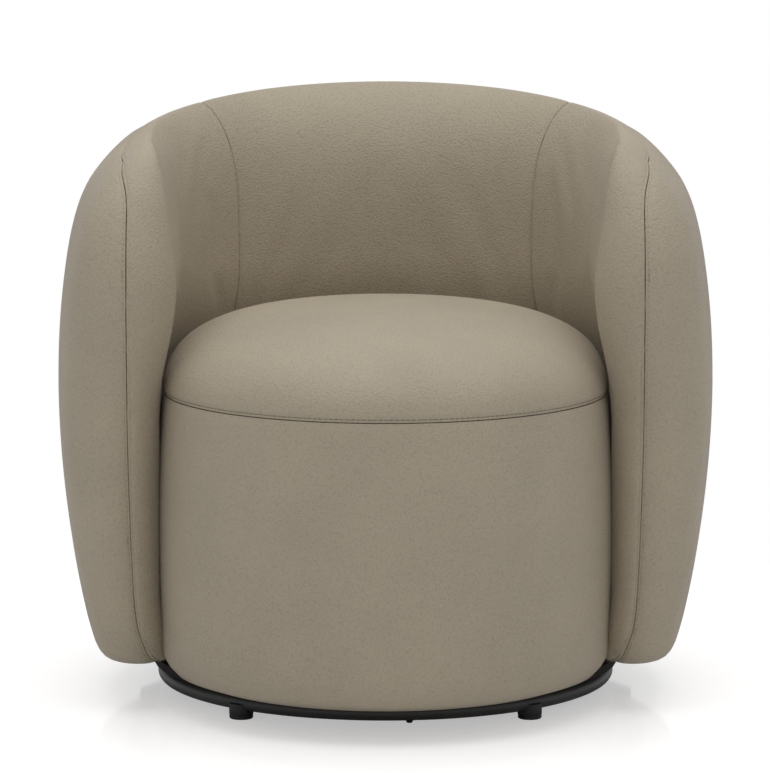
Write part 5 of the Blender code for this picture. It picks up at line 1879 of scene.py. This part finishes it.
@dataclass(frozen=True)
class Studio:
    """White floor, soft light and the photograph's camera."""

    lens: float = 232.04
    sensor: float = 36.0
    camera_place: tuple[float, float, float] = (-0.0006, -6.0186, 1.25361)
    camera_pitch: float = 8.371
    floor_half: float = 14.0
    floor_shade: float = 0.93
    floor_roughness: float = 0.09
    floor_specular: float = 0.25
    sky: float = 0.53
    overhead_place: tuple[float, float, float] = (0.0, -0.3, 3.2)
    overhead_target: tuple[float, float, float] = (0.0, 0.0, 0.4)
    overhead_size: float = 3.0
    overhead_power: float = 48.0
    floor_white: float = 0.45
    fade_start: float = 0.62
    fade_end: float = 1.05

    def camera(self) -> None:
        """Place the camera in front of the chair, a little above it."""
        data = bpy.data.cameras.new("camera")
        data.lens = self.lens
        data.sensor_width = self.sensor
        data.sensor_height = self.sensor
        data.sensor_fit = "AUTO"
        data.clip_end = 100.0
        item = bpy.data.objects.new("camera", data)
        item.location = self.camera_place
        item.rotation_euler = (math.radians(90.0 - self.camera_pitch), 0.0, 0.0)
        bpy.context.scene.collection.objects.link(item)
        bpy.context.scene.camera = item

    def lamp(self, name: str, place: Sequence[float], target: Sequence[float], size: float,
             power: float) -> None:
        """Add a square soft light.

        Args:
            name: The light's name.
            place: Where it stands.
            target: What it points at.
            size: Length of a side.
            power: Its power in watts.
        """
        data = bpy.data.lights.new(name, "AREA")
        data.shape = "SQUARE"
        data.size = size
        data.energy = power
        item = bpy.data.objects.new(name, data)
        item.location = place
        item.rotation_euler = (Vector(target) - Vector(place)).to_track_quat("-Z", "Y").to_euler()
        bpy.context.scene.collection.objects.link(item)

    def world(self) -> None:
        """An even sky that is white where the camera sees it."""
        world = bpy.data.worlds.new("studio")
        world.use_nodes = True
        bpy.context.scene.world = world
        tree = world.node_tree
        back = tree.nodes["Background"]
        back.inputs["Color"].default_value = WHITE
        back.inputs["Strength"].default_value = self.sky
        seen = tree.nodes.new("ShaderNodeBackground")
        seen.inputs["Color"].default_value = WHITE
        path = tree.nodes.new("ShaderNodeLightPath")
        mix = tree.nodes.new("ShaderNodeMixShader")
        tree.links.new(path.outputs["Is Camera Ray"], mix.inputs["Fac"])
        tree.links.new(back.outputs["Background"], mix.inputs[1])
        tree.links.new(seen.outputs["Background"], mix.inputs[2])
        tree.links.new(mix.outputs["Shader"], tree.nodes["World Output"].inputs["Surface"])

    def floor(self) -> None:
        """A pale floor that fades to plain white away from the chair."""
        bpy.ops.mesh.primitive_plane_add(size=self.floor_half * 2)
        item = bpy.context.object
        item.name = item.data.name = "floor"
        board = NodeBoard("studio_floor")
        board.set(Base_Color=(*grey(self.floor_shade), 1.0), Roughness=self.floor_roughness,
                  Specular_IOR_Level=self.floor_specular)
        place = board.add("ShaderNodeVectorMath", operation="LENGTH")
        board.join(board.object_space(), place.inputs[0])
        far = board.add("ShaderNodeMapRange", interpolation_type="SMOOTHSTEP")
        far.inputs["From Min"].default_value = self.fade_start
        far.inputs["From Max"].default_value = self.fade_end
        board.join(place.outputs["Value"], far.inputs["Value"])
        path = board.add("ShaderNodeLightPath")
        both = board.add("ShaderNodeMath", operation="MULTIPLY")
        board.join(path.outputs["Is Camera Ray"], both.inputs[0])
        board.join(far.outputs["Result"], both.inputs[1])
        lift = board.add("ShaderNodeMath", operation="MULTIPLY")
        board.join(path.outputs["Is Camera Ray"], lift.inputs[0])
        lift.inputs[1].default_value = self.floor_white
        glow = board.add("ShaderNodeEmission")
        board.join(lift.outputs["Value"], glow.inputs["Strength"])
        near = board.add("ShaderNodeAddShader")
        board.join(board.shader.outputs["BSDF"], near.inputs[0])
        board.join(glow.outputs["Emission"], near.inputs[1])
        white = board.add("ShaderNodeEmission")
        mix = board.add("ShaderNodeMixShader")
        board.join(both.outputs["Value"], mix.inputs["Fac"])
        board.join(near.outputs["Shader"], mix.inputs[1])
        board.join(white.outputs["Emission"], mix.inputs[2])
        board.join(mix.outputs["Shader"], board.tree.nodes["Material Output"].inputs["Surface"])
        dress(item, board.material)

    def build(self) -> None:
        """Set up the whole stage."""
        bpy.context.scene.view_settings.view_transform = "Standard"
        self.world()
        self.floor()
        self.lamp("overhead", self.overhead_place, self.overhead_target, self.overhead_size,
                  self.overhead_power)
        self.camera()


def main() -> None:
    """Build, dress and light the chair."""
    logging.basicConfig(level=logging.INFO, format="%(name)s: %(message)s")
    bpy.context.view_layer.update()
    leather = TaupeLeather().material()
    thread = SeamThread().material()
    low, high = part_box("outside_cover")
    drum_low, drum_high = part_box("drum_cover")
    shell = ShellUpholstery(ShellForm(half_width=high.x - SHELL_TRIM, bottom=low.z,
                                      seat_seam=drum_high.z + SEAM_LIFT))
    shell.build(leather, thread)
    drum = DrumUpholstery(DrumForm(radius=drum_high.x - DRUM_TRIM, bottom=drum_low.z,
                                   seam=drum_high.z + SEAM_LIFT))
    drum.build(leather, thread)
    boards = ShellFrame(shell.form)
    boards.build()
    base = RingBase()
    base.build()
    CarriedParts({finish.name: finish for finish in
                  (POWDER_COAT, GLIDE_PLASTIC, BLACK_SCREW, ZINC_STEEL, BALL_STEEL, STAINED_BOARD,
                   PLYWOOD, HARDBOARD)}).dress_all()
    Studio().build()
    built = sum(len(group.parts) for group in (shell, drum, boards, base))
    LOG.info("%d pieces built", built)


if __name__ == "__main__":
    main()
